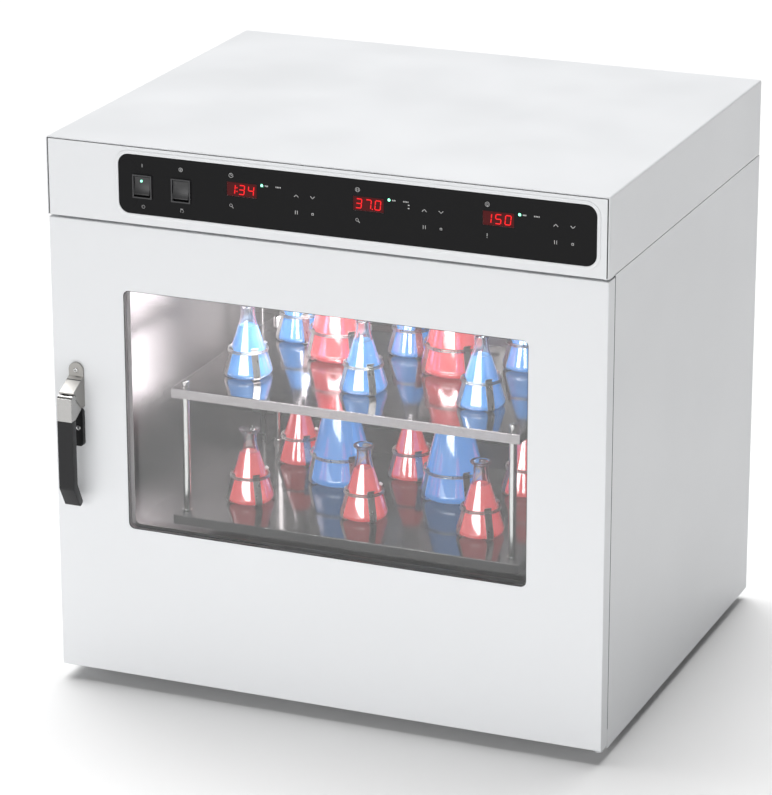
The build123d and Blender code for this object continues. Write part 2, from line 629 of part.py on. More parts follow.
def rocker_bezels():
    """Switch frames: a lip on the hood front and a closed body behind it."""
    pieces = []
    for x in ROCKER_X:
        lip = front_plate(bezel_shape(x, 0), FRONT - BEZEL_PROUD, FRONT)
        body = front_plate(bezel_shape(x, BEZEL_LIP), FRONT, FRONT + BEZEL_DEPTH)
        well = front_plate(bezel_shape(x, BEZEL_WALL), FRONT - BEZEL_PROUD - 1,
                           FRONT + BEZEL_DEPTH - BEZEL_WALL)
        bezel = lip + body - well
        body_half = BEZEL_WIDTH / 2
        for side in (-1, 1):
            x0, x1 = sorted((x + side * (body_half - BEZEL_LIP), x + side * (body_half - 3 * BEZEL_LIP)))
            bezel += block(x0, x1, FRONT + BEZEL_WALL, FRONT + BEZEL_DEPTH,
                           ROCKER_Z - BEZEL_LIP * 3, ROCKER_Z + BEZEL_LIP * 3)
        bezel -= crosswise(FRONT + ROCKER_PIVOT, ROCKER_Z, x - body_half, x + body_half,
                           ROCKER_PIN + RUNNING_FIT)
        pieces.append(bezel)
    return group(pieces)


def rocker(x):
    """Dished switch key on its pin, tipped to its on side."""
    half = BEZEL_WIDTH / 2 - 3 * BEZEL_LIP - SIDE_PLAY
    reach, rise, pin_y = ROCKER_REACH, ROCKER_HALF_HEIGHT, FRONT + ROCKER_PIVOT
    outline = [(-reach, -rise), (-ROCKER_DISH, 0), (-reach, rise), (-reach / 3, rise * 0.8), (reach / 4, 0),
               (-reach / 3, -rise * 0.8)]
    key = side_plate(outline, -half, half)
    wing = BEZEL_WIDTH / 2 - BEZEL_WALL - SIDE_PLAY
    face = [(-reach, -rise), (-ROCKER_DISH, 0), (-reach, rise), (-reach / 1.5, rise), (-reach / 1.6, -rise)]
    key += side_plate(face, -wing, wing)
    key += crosswise(0, 0, -BEZEL_WIDTH / 2 + BEZEL_LIP + SIDE_PLAY, BEZEL_WIDTH / 2 - BEZEL_LIP - SIDE_PLAY,
                     ROCKER_PIN)
    return Pos(x, pin_y, ROCKER_Z) * Rot(-ROCKER_TILT, 0, 0) * key


# ---- Door ----
def latch_y(reach):
    """Depth of a point that stands out from the door's face."""
    return DOOR_FACE - reach


def screw_spots():
    """Latch screws: X, Z and the reach of the face that each head rests on."""
    lug = (LATCH_X, LATCH_Z - LATCH_HALF_WIDTH, LUG_SHEET)
    base = (LATCH_X + LATCH_BASE_HALF / 3, LATCH_Z - (LATCH_BASE_TOP + LATCH_BASE_DROP) / 2,
            LATCH_BASE_THICKNESS)
    return [lug, base]


def door_outer_skin():
    skin = block(-HALF_WIDTH, HALF_WIDTH, DOOR_FACE, DOOR_BACK, DOOR_BOTTOM, DOOR_TOP)
    face_edges = [edge for edge in skin.edges() if edge.center().Y < DOOR_FACE + 1]
    skin = fillet(face_edges, SHEET)
    skin -= block(-INSIDE, INSIDE, DOOR_FACE + SHEET, DOOR_BACK + 1, DOOR_BOTTOM + SHEET, DOOR_TOP - SHEET)
    skin -= front_plate(window_shape(0), DOOR_FACE - 1, DOOR_BACK)
    skin -= upright(HINGE_X, HINGE_Y, DOOR_BOTTOM - 1, DOOR_TOP + 1, HINGE_PIN + SEAT_GAP)
    for x, z, reach in screw_spots():
        skin -= lengthwise(x, z, DOOR_FACE - 1, DOOR_FACE + 2 * SHEET, SCREW_SHANK + SEAT_GAP)
    return skin


def door_inner_skin():
    half = INSIDE - SEAT_GAP
    skin = block(-half, half, DOOR_BACK - INNER_SKIN, DOOR_BACK,
                 DOOR_BOTTOM + SHEET + SEAT_GAP, DOOR_TOP - SHEET - SEAT_GAP)
    return skin - front_plate(window_shape(0), DOOR_BACK - DOOR_THICKNESS, DOOR_BACK + 1)


def bush_span(low_end):
    """Height range of a hinge bush, inside the door's lower or upper edge."""
    if low_end:
        return DOOR_BOTTOM + SHEET, DOOR_BOTTOM + SHEET + PIN_GRIP
    return DOOR_TOP - SHEET - PIN_GRIP, DOOR_TOP - SHEET


def hinge_bushes():
    pieces = []
    for low_end in (True, False):
        z0, z1 = bush_span(low_end)
        bush = block(HINGE_X - HINGE_EDGE, INSIDE, DOOR_FACE + SHEET, HINGE_Y + BUSH_BACK, z0, z1)
        pieces.append(bush - upright(HINGE_X, HINGE_Y, z0 - 1, z1 + 1, HINGE_PIN + RUNNING_FIT))
    return group(pieces)


def door_insulation():
    half = INSIDE - SEAT_GAP
    core = block(-half, half, DOOR_FACE + SHEET + SEAT_GAP, DOOR_BACK - INNER_SKIN - SEAT_GAP,
                 DOOR_BOTTOM + SHEET + SEAT_GAP, DOOR_TOP - SHEET - SEAT_GAP)
    core -= front_plate(window_shape(PANE_LAP + 1), DOOR_FACE - 1, DOOR_BACK + 1)
    for low_end in (True, False):
        z0, z1 = bush_span(low_end)
        core -= block(HINGE_X - HINGE_EDGE - SEAT_GAP, INSIDE + 1, DOOR_FACE, HINGE_Y + BUSH_BACK + SEAT_GAP,
                      z0 - SEAT_GAP, z1 + SEAT_GAP)
    for x, z, reach in screw_spots():
        core -= lengthwise(x, z, DOOR_FACE, DOOR_FACE + 2 * SCREW_GRIP, SCREW_SHANK + 1)
    return core


def window_panes():
    outer = front_plate(window_shape(PANE_LAP), DOOR_FACE + SHEET, DOOR_FACE + SHEET + PANE)
    back = DOOR_BACK - INNER_SKIN
    return group([outer, front_plate(window_shape(PANE_LAP), back - PANE, back)])


def window_spacer():
    y0, y1 = DOOR_FACE + SHEET + PANE, DOOR_BACK - INNER_SKIN - PANE
    ring = front_plate(window_shape(PANE_LAP), y0, y1)
    return ring - front_plate(window_shape(PANE_LAP - SPACER_WIDTH), y0 - 1, y1 + 1)


def door_gasket():
    inner_half = CHAMBER_HALF + GASKET_STEP
    inner_height = CHAMBER_HEIGHT + 2 * GASKET_STEP
    middle = (CHAMBER_FLOOR + CHAMBER_TOP) / 2
    outer = Pos(0, middle) * RectangleRounded(2 * (inner_half + GASKET_WIDTH),
                                              inner_height + 2 * GASKET_WIDTH, GASKET_WIDTH)
    inner = Pos(0, middle) * Rectangle(2 * inner_half, inner_height)
    return front_plate(outer - inner, DOOR_BACK, FRAME_FACE - SEAT_GAP)


def hinge_brackets():
    """Plates in the cabinet that reach over and under the door, each with its pin."""
    tail = BODY_FRONT + HINGE_TAIL
    left = INSIDE - HINGE_ARM
    spans = ((PAN_TOP, PAN_TOP + HINGE_PLATE, 1), (HOOD_BOTTOM - HINGE_PLATE, HOOD_BOTTOM, -1))
    pieces = []
    for z0, z1, way in spans:
        plate = block(left, INSIDE, HINGE_Y, tail, z0, z1)
        plate += upright(HINGE_X, HINGE_Y, z0, z1, HINGE_EDGE - SHEET)
        bush_low, bush_high = bush_span(way > 0)
        end = bush_high - SEAT_GAP if way > 0 else bush_low + SEAT_GAP
        low, high = sorted((z0 if way > 0 else z1, end))
        pieces.append(plate + upright(HINGE_X, HINGE_Y, low, high, HINGE_PIN))
    return group(pieces)


# ---- Latch ----
def slit_normal():
    """Unit normal of the parting slit, from bracket to lever, as reach and height."""
    run = BRACKET_REACH - BRACKET_TOE
    drop = BRACKET_HEIGHT - BRACKET_NOSE - BRACKET_LIP
    length = math.hypot(run, drop)
    return drop / length, -run / length


def latch_pin():
    """Pin axis as reach and height below the lug's top."""
    away, up = slit_normal()
    return BRACKET_REACH - away * SLIT, -(BRACKET_NOSE + BRACKET_LIP + LATCH_PIN_DROP)


def latch_plate(points, half):
    """Latch piece from an outline of reach and height, centred on the latch."""
    outline = [(latch_y(reach), LATCH_Z + height) for reach, height in points]
    return side_plate(outline, LATCH_X - half, LATCH_X + half)


def round_pin(radius, half):
    """Cylinder about the latch pin's axis."""
    reach, height = latch_pin()
    return crosswise(latch_y(reach), LATCH_Z + height, LATCH_X - half, LATCH_X + half, radius)


def tongue(turn, room):
    """The bracket's tongue round the pin, turned back by an angle and grown by some room."""
    away, up = slit_normal()
    angle = math.atan2(-up, -away) - math.radians(turn)
    run, rise = math.cos(angle), math.sin(angle)
    reach, height = latch_pin()
    width = TONGUE_ROUND + room
    length = KNUCKLE + SLIT + LUG_SHEET
    points = [(along * run - across * rise + reach, along * rise + across * run + height)
              for along, across in ((0, -width), (length, -width), (length, width), (0, width))]
    half = TONGUE_HALF_WIDTH + room
    return latch_plate(points, half) + round_pin(width, half)


def latch_bracket():
    outline = [(0, 0), (LUG_SHEET, 0), (LUG_SHEET, -LUG_HEIGHT), (BRACKET_REACH, -BRACKET_NOSE),
               (BRACKET_REACH, -BRACKET_NOSE - BRACKET_LIP), (BRACKET_TOE, -BRACKET_HEIGHT),
               (0, -BRACKET_HEIGHT)]
    bracket = latch_plate(outline, LATCH_HALF_WIDTH)
    lug_centre = LATCH_Z - LATCH_HALF_WIDTH
    shape = Pos(LATCH_X, lug_centre) * Circle(LATCH_HALF_WIDTH)
    shape += Pos(LATCH_X, lug_centre - BRACKET_HEIGHT / 2) * Rectangle(2 * LATCH_HALF_WIDTH, BRACKET_HEIGHT)
    bracket = bracket & front_plate(shape, latch_y(BRACKET_REACH + 1), DOOR_FACE)
    bracket -= round_pin(KNUCKLE + SLIT, LATCH_HALF_WIDTH + 1)
    bracket += tongue(0, 0)
    bracket += round_pin(LATCH_PIN, LATCH_HALF_WIDTH - 1)
    x, z, seat = screw_spots()[0]
    return bracket - lengthwise(x, z, latch_y(seat + 1), DOOR_FACE + 1, SCREW_SHANK + SEAT_GAP)


def grip_core(play):
    """The lever's tenon inside the grip, grown by some play."""
    half = LATCH_HALF_WIDTH / 2 + play
    front = LATCH_REACH - CORE_COVER + play
    back = LATCH_REACH - GRIP_THICKNESS + CORE_COVER - play
    return latch_plate([(front, -HEAD_DROP + play), (front, -HEAD_DROP - CORE_LENGTH - play),
                        (back, -HEAD_DROP - CORE_LENGTH - play), (back, -HEAD_DROP + play)], half)


def latch_lever():
    """Cast head: two cheeks on the pin, a face in front and a tenon for the grip below."""
    away, up = slit_normal()
    reach, height = latch_pin()
    toe = (BRACKET_TOE + away * SLIT, -BRACKET_HEIGHT + up * SLIT)
    slit_depth = (reach - toe[0]) * away + (height - toe[1]) * up
    foot = (reach - away * slit_depth, height - up * slit_depth)
    outline = [foot, (reach, height + KNUCKLE / 3), (LATCH_REACH, height + KNUCKLE / 3),
               (LATCH_REACH, -HEAD_DROP), (LATCH_REACH - GRIP_THICKNESS, -HEAD_DROP), toe]
    head = latch_plate(outline, LATCH_HALF_WIDTH) + round_pin(KNUCKLE, LATCH_HALF_WIDTH)
    head += grip_core(0)
    for turn in (0, LATCH_LIFT / 2, LATCH_LIFT):
        head -= tongue(turn, SEAT_GAP)
    return head - round_pin(LATCH_PIN + RUNNING_FIT, LATCH_HALF_WIDTH - 1 + SEAT_GAP)


def latch_grip():
    """Flat black grip over the lever's tenon, bent back to the door at its end."""
    back = LATCH_REACH - GRIP_THICKNESS
    hook = LATCH_REACH - GRIP_HOOK
    outline = [(LATCH_REACH, -HEAD_DROP), (LATCH_REACH, -GRIP_BEND), (hook, -GRIP_DROP),
               (hook - GRIP_END, -GRIP_DROP + GRIP_HEEL), (back, -GRIP_BEND + GRIP_HEEL), (back, -HEAD_DROP)]
    grip = latch_plate(outline, GRIP_HALF_WIDTH)
    long_edges = [edge for edge in grip.edges() if abs(abs(edge.center().X - LATCH_X) - GRIP_HALF_WIDTH) < 0.1]
    return fillet(long_edges, GRIP_ROUND) - grip_core(SEAT_GAP / 3)


def latch_base():
    half = LATCH_BASE_HALF
    middle = LATCH_Z - (LATCH_BASE_TOP + LATCH_BASE_DROP) / 2
    shape = Pos(LATCH_X, middle) * RectangleRounded(2 * half, LATCH_BASE_DROP - LATCH_BASE_TOP, half / 2)
    plate = front_plate(shape, latch_y(LATCH_BASE_THICKNESS), DOOR_FACE)
    x, z, seat = screw_spots()[1]
    return plate - lengthwise(x, z, latch_y(seat + 1), DOOR_FACE + 1, SCREW_SHANK + SEAT_GAP)


def latch_screws():
    pieces = []
    for x, z, reach in screw_spots():
        face = latch_y(reach)
        head = lengthwise(x, z, face - SCREW_HEIGHT, face, SCREW_HEAD * 0.75)
        pieces.append(head + lengthwise(x, z, face, DOOR_FACE + SCREW_GRIP, SCREW_SHANK))
    return group(pieces)


# ---- Chamber ----
def chamber_liner():
    liner = block(-LINER_OUT, LINER_OUT, FRAME_BACK, LINER_BACK, CHAMBER_FLOOR - LINER_SHEET,
                  CHAMBER_TOP + LINER_SHEET)
    flange = LINER_OUT + LINER_FLANGE
    liner += block(-flange, flange, FRAME_BACK, FRAME_BACK + LINER_SHEET,
                   CHAMBER_FLOOR - LINER_SHEET - LINER_FLANGE, CHAMBER_TOP + LINER_SHEET + LINER_FLANGE)
    liner -= block(-CHAMBER_HALF, CHAMBER_HALF, FRAME_BACK - 1, CHAMBER_BACK, CHAMBER_FLOOR, CHAMBER_TOP)
    for x, y in [DRIVE_AXIS] + IDLER_AXES:
        liner -= upright(x, y, CHAMBER_FLOOR - 2 * LINER_SHEET, CHAMBER_FLOOR + 1, SHAFT_HOLE)
    liner -= lengthwise(0, FAN_Z, CHAMBER_BACK - 1, LINER_BACK + 1, 2 * FAN_SHAFT)
    for x in heater_legs():
        liner -= lengthwise(x, FAN_Z, CHAMBER_BACK - 1, LINER_BACK + 1, HEATER_ROD + SEAT_GAP)
    return liner


def chamber_insulation():
    """Slabs round the liner: left, right, top, floor and rear."""
    y0 = FRAME_BACK + LINER_SHEET + SEAT_GAP
    inner, outer = LINER_OUT + SEAT_GAP, INSIDE - SEAT_GAP
    low, high = CHAMBER_FLOOR - LINER_SHEET - SEAT_GAP, CHAMBER_TOP + LINER_SHEET + SEAT_GAP
    left = block(-outer, -inner, y0, INSULATION_BACK, INSULATION_BOTTOM, INSULATION_TOP)
    right = block(inner, outer, y0, INSULATION_BACK, INSULATION_BOTTOM, INSULATION_TOP)
    top = block(-inner, inner, y0, INSULATION_BACK, high, INSULATION_TOP)
    floor = block(-inner, inner, y0, INSULATION_BACK, INSULATION_BOTTOM, low)
    for x, y in [DRIVE_AXIS] + IDLER_AXES:
        floor -= upright(x, y, INSULATION_BOTTOM - 1, low + 1, SHAFT_HOLE)
    rear = block(-inner, inner, LINER_BACK + SEAT_GAP, INSULATION_BACK, low, high)
    rear -= lengthwise(0, FAN_Z, LINER_BACK, INSULATION_BACK + 1, 2 * FAN_SHAFT)
    for x in heater_legs():
        rear -= lengthwise(x, FAN_Z, LINER_BACK, INSULATION_BACK + 1, HEATER_ROD + SEAT_GAP)
    return group([left, right, top, floor, rear])


def air_baffle():
    half = CHAMBER_HALF - SEAT_GAP
    z0, z1 = CHAMBER_FLOOR + BAFFLE_GAP, CHAMBER_TOP - BAFFLE_GAP
    plate = block(-half, half, BAFFLE_Y, BAFFLE_Y + LINER_SHEET, z0, z1)
    for side in (-1, 1):
        x0, x1 = sorted((side * (half - LINER_SHEET), side * half))
        plate += block(x0, x1, BAFFLE_Y, CHAMBER_BACK, z0, z1)
    pitch = 2 * INTAKE_RADIUS / INTAKE_SLOTS
    for index in range(INTAKE_SLOTS):
        rise = (index - (INTAKE_SLOTS - 1) / 2) * pitch
        length = 2 * math.sqrt(INTAKE_RADIUS ** 2 - rise ** 2)
        slot = Pos(0, FAN_Z + rise) * SlotOverall(length, INTAKE_SLOT)
        plate -= front_plate(slot, BAFFLE_Y - 1, BAFFLE_Y + 2 * LINER_SHEET)
    return plate


def fan_wheel():
    front = FAN_BACK - FAN_WIDTH
    wheel = lengthwise(0, FAN_Z, front, FAN_BACK, FAN_HUB)
    middle = (front + FAN_BACK) / 2
    blade_width = FAN_WIDTH * 0.8
    root = FAN_HUB - BLADE_SHEET
    blade = Pos((root + FAN_RADIUS) / 2, 0, 0) * Box(FAN_RADIUS - root, blade_width, BLADE_SHEET)
    blade = Rot(90 - FAN_PITCH, 0, 0) * blade
    for index in range(FAN_BLADES):
        wheel += Pos(0, middle, FAN_Z) * Rot(0, index * 360 / FAN_BLADES, 0) * blade
    return wheel + lengthwise(0, FAN_Z, FAN_BACK, INSULATION_BACK + FAN_MOTOR_DEPTH / 2, FAN_SHAFT)


def fan_motor():
    motor = lengthwise(0, FAN_Z, INSULATION_BACK, INSULATION_BACK + FAN_MOTOR_DEPTH, FAN_MOTOR_RADIUS)
    return motor - lengthwise(0, FAN_Z, INSULATION_BACK - 1, INSULATION_BACK + FAN_MOTOR_DEPTH / 2 + SEAT_GAP,
                              FAN_SHAFT + RUNNING_FIT)


def heater_legs():
    return [-HEATER_RADIUS, HEATER_RADIUS]


def heater_element():
    """Rod ring round the fan, on two legs through the rear wall."""
    ring = Pos(0, HEATER_Y, FAN_Z) * Rot(90, 0, 0) * Torus(HEATER_RADIUS, HEATER_ROD)
    for x in heater_legs():
        ring += lengthwise(x, FAN_Z, HEATER_Y, INSULATION_BACK, HEATER_ROD)
    return ring


def temperature_probe():
    y = BAFFLE_Y - PROBE_LEAD
    rod = upright(PROBE_X, y, CHAMBER_FLOOR + SEAT_GAP, CHAMBER_TOP, PROBE_RADIUS)
    return rod + upright(PROBE_X, y, CHAMBER_TOP - PROBE_COLLAR, CHAMBER_TOP, PROBE_COLLAR)


def chamber_lamp():
    y0 = FRAME_BACK + LAMP_LEAD
    lamp = block(-LAMP_WIDTH / 2, LAMP_WIDTH / 2, y0, y0 + LAMP_DEPTH, CHAMBER_TOP - LAMP_HEIGHT, CHAMBER_TOP)
    lower = [edge for edge in lamp.edges().filter_by(Axis.X) if edge.center().Z < CHAMBER_TOP - 1]
    return fillet(lower, LAMP_HEIGHT / 3)


# ---- Orbital drive ----
def drive_deck():
    back = DECK_FRONT + DECK_DEPTH
    deck = block(-DECK_HALF_WIDTH, DECK_HALF_WIDTH, DECK_FRONT, back, DECK_BOTTOM, DECK_TOP)
    for side in (-1, 1):
        x0, x1 = sorted((side * (DECK_HALF_WIDTH - DECK_LEG), side * DECK_HALF_WIDTH))
        deck += block(x0, x1, DECK_FRONT, back, PAN_TOP, DECK_BOTTOM)
    for x, y, radius in (DRIVE_AXIS + (SHAFT_RADIUS,), MOTOR_AXIS + (MOTOR_SHAFT,)):
        deck -= upright(x, y, DECK_BOTTOM - 1, DECK_TOP + 1, radius + 4 * SEAT_GAP)
    return deck


def shaft_housings():
    pieces = []
    bore = BEARING_RADIUS + PRESS_GAP
    for x, y in [DRIVE_AXIS] + IDLER_AXES:
        housing = upright(x, y, DECK_TOP, HOUSING_TOP, bore + HOUSING_WALL)
        housing += upright(x, y, DECK_TOP, DECK_TOP + FLANGE_THICKNESS, FLANGE_RADIUS)
        pieces.append(housing - upright(x, y, DECK_TOP - 1, HOUSING_TOP + 1, bore))
    return group(pieces)


def ball_bearings():
    pieces = []
    low = DECK_TOP + BEARING_INSET
    high = HOUSING_TOP - BEARING_INSET - BEARING_WIDTH
    for x, y in [DRIVE_AXIS] + IDLER_AXES:
        for z in (low, high):
            ring = upright(x, y, z, z + BEARING_WIDTH, BEARING_RADIUS)
            pieces.append(ring - upright(x, y, z - 1, z + BEARING_WIDTH + 1, SHAFT_RADIUS + RUNNING_FIT))
    return group(pieces)


def crank(axis, pin, bottom):
    """Shaft, web and eccentric pin in one piece."""
    shaft = upright(axis[0], axis[1], bottom, WEB_BOTTOM, SHAFT_RADIUS)
    web = upright(axis[0], axis[1], WEB_BOTTOM, WEB_TOP, WEB_RADIUS)
    return shaft + web + upright(pin[0], pin[1], WEB_TOP, WEB_TOP + PIN_HEIGHT, CRANK_PIN)


def drive_crank():
    return crank(DRIVE_AXIS, DRIVE_PIN, PULLEY_BOTTOM - WEIGHT_THICKNESS)


def idler_crank(index):
    return crank(IDLER_AXES[index], IDLER_PINS[index], DECK_TOP + SEAT_GAP)


def pulley(axis, radius, bore):
    x, y = axis
    wheel = upright(x, y, PULLEY_BOTTOM, PULLEY_TOP, radius)
    for z in (PULLEY_BOTTOM, PULLEY_TOP - PULLEY_FLANGE_SHEET):
        wheel += upright(x, y, z, z + PULLEY_FLANGE_SHEET, radius + PULLEY_FLANGE)
    if bore:
        wheel -= upright(x, y, PULLEY_BOTTOM - 1, PULLEY_TOP + 1, bore)
    return wheel


def crank_pulley():
    wheel = pulley(DRIVE_AXIS, CRANK_PULLEY_RADIUS, SHAFT_RADIUS + PRESS_GAP)
    middle = (CRANK_PULLEY_RADIUS + SHAFT_RADIUS) / 2
    for index in range(4):
        angle = math.radians(45 + 90 * index)
        x = DRIVE_AXIS[0] + middle * math.cos(angle)
        y = DRIVE_AXIS[1] + middle * math.sin(angle)
        wheel -= upright(x, y, PULLEY_BOTTOM - 1, PULLEY_TOP + 1, middle / 3)
    return wheel


def motor_pulley():
    x, y = MOTOR_AXIS
    shaft = upright(x, y, PULLEY_TOP, DECK_TOP + MOTOR_SHAFT_GRIP, MOTOR_SHAFT)
    return pulley(MOTOR_AXIS, MOTOR_PULLEY_RADIUS, 0) + shaft


def drive_motor():
    x, y = MOTOR_AXIS
    motor = upright(x, y, DECK_TOP, DECK_TOP + MOTOR_HEIGHT, MOTOR_RADIUS)
    return motor - upright(x, y, DECK_TOP - 1, DECK_TOP + MOTOR_SHAFT_GRIP + SEAT_GAP, MOTOR_SHAFT + RUNNING_FIT)


def drive_belt():
    def loop(grow):
        big = Pos(*DRIVE_AXIS) * Circle(CRANK_PULLEY_RADIUS + grow)
        small = Pos(*MOTOR_AXIS) * Circle(MOTOR_PULLEY_RADIUS + grow)
        return make_hull((big + small).edges())

    ring = loop(SEAT_GAP + BELT_THICKNESS) - loop(SEAT_GAP)
    low = (PULLEY_BOTTOM + PULLEY_TOP - BELT_WIDTH) / 2
    return extrude(Pos(0, 0, low) * ring, amount=BELT_WIDTH)


def counterweight():
    """Half disc opposite the eccentric pin, clamped under the crank pulley."""
    x, y = DRIVE_AXIS
    low = PULLEY_BOTTOM - WEIGHT_THICKNESS
    weight = upright(x, y, low, PULLEY_BOTTOM, WEIGHT_RADIUS)
    weight &= block(x - WEIGHT_RADIUS, x + WEIGHT_RADIUS, y, y + WEIGHT_RADIUS, low, PULLEY_BOTTOM)
    weight += upright(x, y, low, PULLEY_BOTTOM, WEIGHT_HUB)
    return weight - upright(x, y, low - 1, PULLEY_BOTTOM + 1, SHAFT_RADIUS + PRESS_GAP)


# ---- Carriage ----
def carriage_frame():
    """Plate under the lower platform with a bearing boss for each crank pin."""
    low = CARRIAGE_TOP - CARRIAGE_PLATE
    frame = block(-CARRIAGE_HALF_WIDTH, CARRIAGE_HALF_WIDTH, PLATFORM_Y - CARRIAGE_HALF_DEPTH,
                  PLATFORM_Y + CARRIAGE_HALF_DEPTH, low, CARRIAGE_TOP)
    window = CARRIAGE_HALF_WIDTH / 3
    for side in (-1, 1):
        middle = side * window * 1.5
        frame -= block(middle - window * 0.75, middle + window * 0.75, DRIVE_PIN[1] - window / 2,
                       DRIVE_PIN[1] + window / 2, low - 1, CARRIAGE_TOP + 1)
    for x, y in [DRIVE_PIN] + IDLER_PINS:
        frame += upright(x, y, WEB_TOP + SEAT_GAP, low, BOSS_RADIUS)
    bore_top = WEB_TOP + PIN_HEIGHT + 1
    frame -= upright(*DRIVE_PIN, WEB_TOP, bore_top, CRANK_PIN + RUNNING_FIT)
    for x, y in IDLER_PINS:
        frame -= upright(x, y, WEB_TOP, bore_top, CRANK_PIN + IDLER_CLEARANCE)
    return frame


def platform(top):
    """Tray of one tier: flat top with folded edges and holes for the posts' studs."""
    y0, y1 = PLATFORM_FRONT, PLATFORM_FRONT + PLATFORM_DEPTH
    inner = PLATFORM_HALF - PLATFORM_SHEET
    tray = block(-PLATFORM_HALF, PLATFORM_HALF, y0, y1, top - PLATFORM_FLANGE, top)
    tray = fillet([edge for edge in tray.edges() if edge.center().Z > top - 1], PLATFORM_SHEET * 0.8)
    tray -= block(-inner, inner, y0 + PLATFORM_SHEET, y1 - PLATFORM_SHEET,
                  top - PLATFORM_FLANGE - 1, top - PLATFORM_SHEET)
    for x, y in POSTS:
        tray -= upright(x, y, top - PLATFORM_FLANGE, top + 1, POST_STUD + SEAT_GAP / 2)
    return tray


def platform_posts():
    pieces = []
    for x, y in POSTS:
        post = upright(x, y, LOWER_TOP, UPPER_TOP - PLATFORM_SHEET, POST_RADIUS)
        post += upright(x, y, LOWER_TOP - PLATFORM_SHEET - NUT_HEIGHT, LOWER_TOP, POST_STUD)
        post += upright(x, y, UPPER_TOP - PLATFORM_SHEET, UPPER_TOP + CAP_NUT_HEIGHT * 0.7, POST_STUD)
        pieces.append(post)
    return group(pieces)


def post_nuts():
    """At each post: a collar at its foot, a nut under the lower tray and a cap nut on the upper tray."""
    pieces = []
    for x, y in POSTS:
        collar = upright(x, y, LOWER_TOP, LOWER_TOP + NUT_HEIGHT, NUT_RADIUS)
        pieces.append(collar - upright(x, y, LOWER_TOP - 1, LOWER_TOP + NUT_HEIGHT + 1,
                                       POST_RADIUS + RUNNING_FIT))
        under = LOWER_TOP - PLATFORM_SHEET
        nut = upright(x, y, under - NUT_HEIGHT, under, CAP_NUT_RADIUS)
        pieces.append(nut - upright(x, y, under - NUT_HEIGHT - 1, under + 1, POST_STUD + RUNNING_FIT))
        cap = upright(x, y, UPPER_TOP, UPPER_TOP + CAP_NUT_HEIGHT, CAP_NUT_RADIUS)
        cap = fillet(cap.edges().group_by(Axis.Z)[-1], CAP_NUT_RADIUS / 2)
        pieces.append(cap - upright(x, y, UPPER_TOP - 1, UPPER_TOP + CAP_NUT_HEIGHT * 0.7 + RUNNING_FIT,
                                    POST_STUD + RUNNING_FIT))
    return group(pieces)


# ---- Flasks ----
def cone_lean(flask):
    """Lean of the flask's cone from the vertical."""
    return math.atan((flask.radius - flask.neck) / flask.shoulder)


def cone_radius(flask, height):
    """Radius of the outer cone at a height, extended below its rounded heel."""
    lean = cone_lean(flask)
    sharp = flask.radius + flask.heel * ((1 + math.sin(lean)) / math.cos(lean) - 1)
    return sharp - height * math.tan(lean)


def flask_form(flask, inset, top):
    """Solid of revolution whose surface lies a given distance inside the flask's outer surface."""
    lean = cone_lean(flask)
    shrink = inset / math.cos(lean)
    neck = flask.neck - inset
    corner = cone_radius(flask, inset) - shrink
    bend = (cone_radius(flask, 0) - shrink - neck) / math.tan(lean)
    wall = FilletPolyline((0, inset), (corner, inset), (neck, bend), (neck, max(top, bend + SHOULDER_ROUND)),
                          radius=[flask.heel - inset, SHOULDER_ROUND + inset])
    high = max(top, bend + SHOULDER_ROUND)
    rest = Polyline((neck, high), (0, high), (0, inset))
    form = revolve(Plane.XZ * make_face(wall.edges() + rest.edges()), axis=Axis.Z)
    if top < high:
        form &= Pos(0, 0, top / 2) * Box(4 * flask.radius, 4 * flask.radius, top)
    return form


def flask_glass(flask):
    """Conical flask with a flared lip."""
    glass = flask_form(flask, 0, flask.height)
    inner = flask.neck - FLASK_WALL / 2
    lip = Polygon((inner, flask.height - LIP_HEIGHT), (flask.lip, flask.height - LIP_EDGE),
                  (flask.lip, flask.height), (inner, flask.height), align=None)
    glass += revolve(Plane.XZ * lip, axis=Axis.Z)
    return glass - flask_form(flask, FLASK_WALL, flask.height + 1)


def flask_media(flask):
    return flask_form(flask, FLASK_WALL + SEAT_GAP, flask.level)


def placed(piece, spots, tops, lift):
    """Copies of a piece on the given spots of the given tiers."""
    return [Pos(x, y, top + lift) * piece for top in tops for x, y in spots]


def small_flasks():
    return group(placed(flask_glass(SMALL_FLASK), SMALL_SPOTS, TIERS, CLAMP_SHEET))


def large_flasks():
    return group(placed(flask_glass(LARGE_FLASK), LARGE_SPOTS, TIERS, CLAMP_SHEET))


def red_media():
    small = placed(flask_media(SMALL_FLASK), SMALL_SPOTS, (LOWER_TOP,), CLAMP_SHEET)
    return group(small + placed(flask_media(LARGE_FLASK), LARGE_SPOTS, (UPPER_TOP,), CLAMP_SHEET))


def blue_media():
    small = placed(flask_media(SMALL_FLASK), SMALL_SPOTS, (UPPER_TOP,), CLAMP_SHEET)
    return group(small + placed(flask_media(LARGE_FLASK), LARGE_SPOTS, (LOWER_TOP,), CLAMP_SHEET))


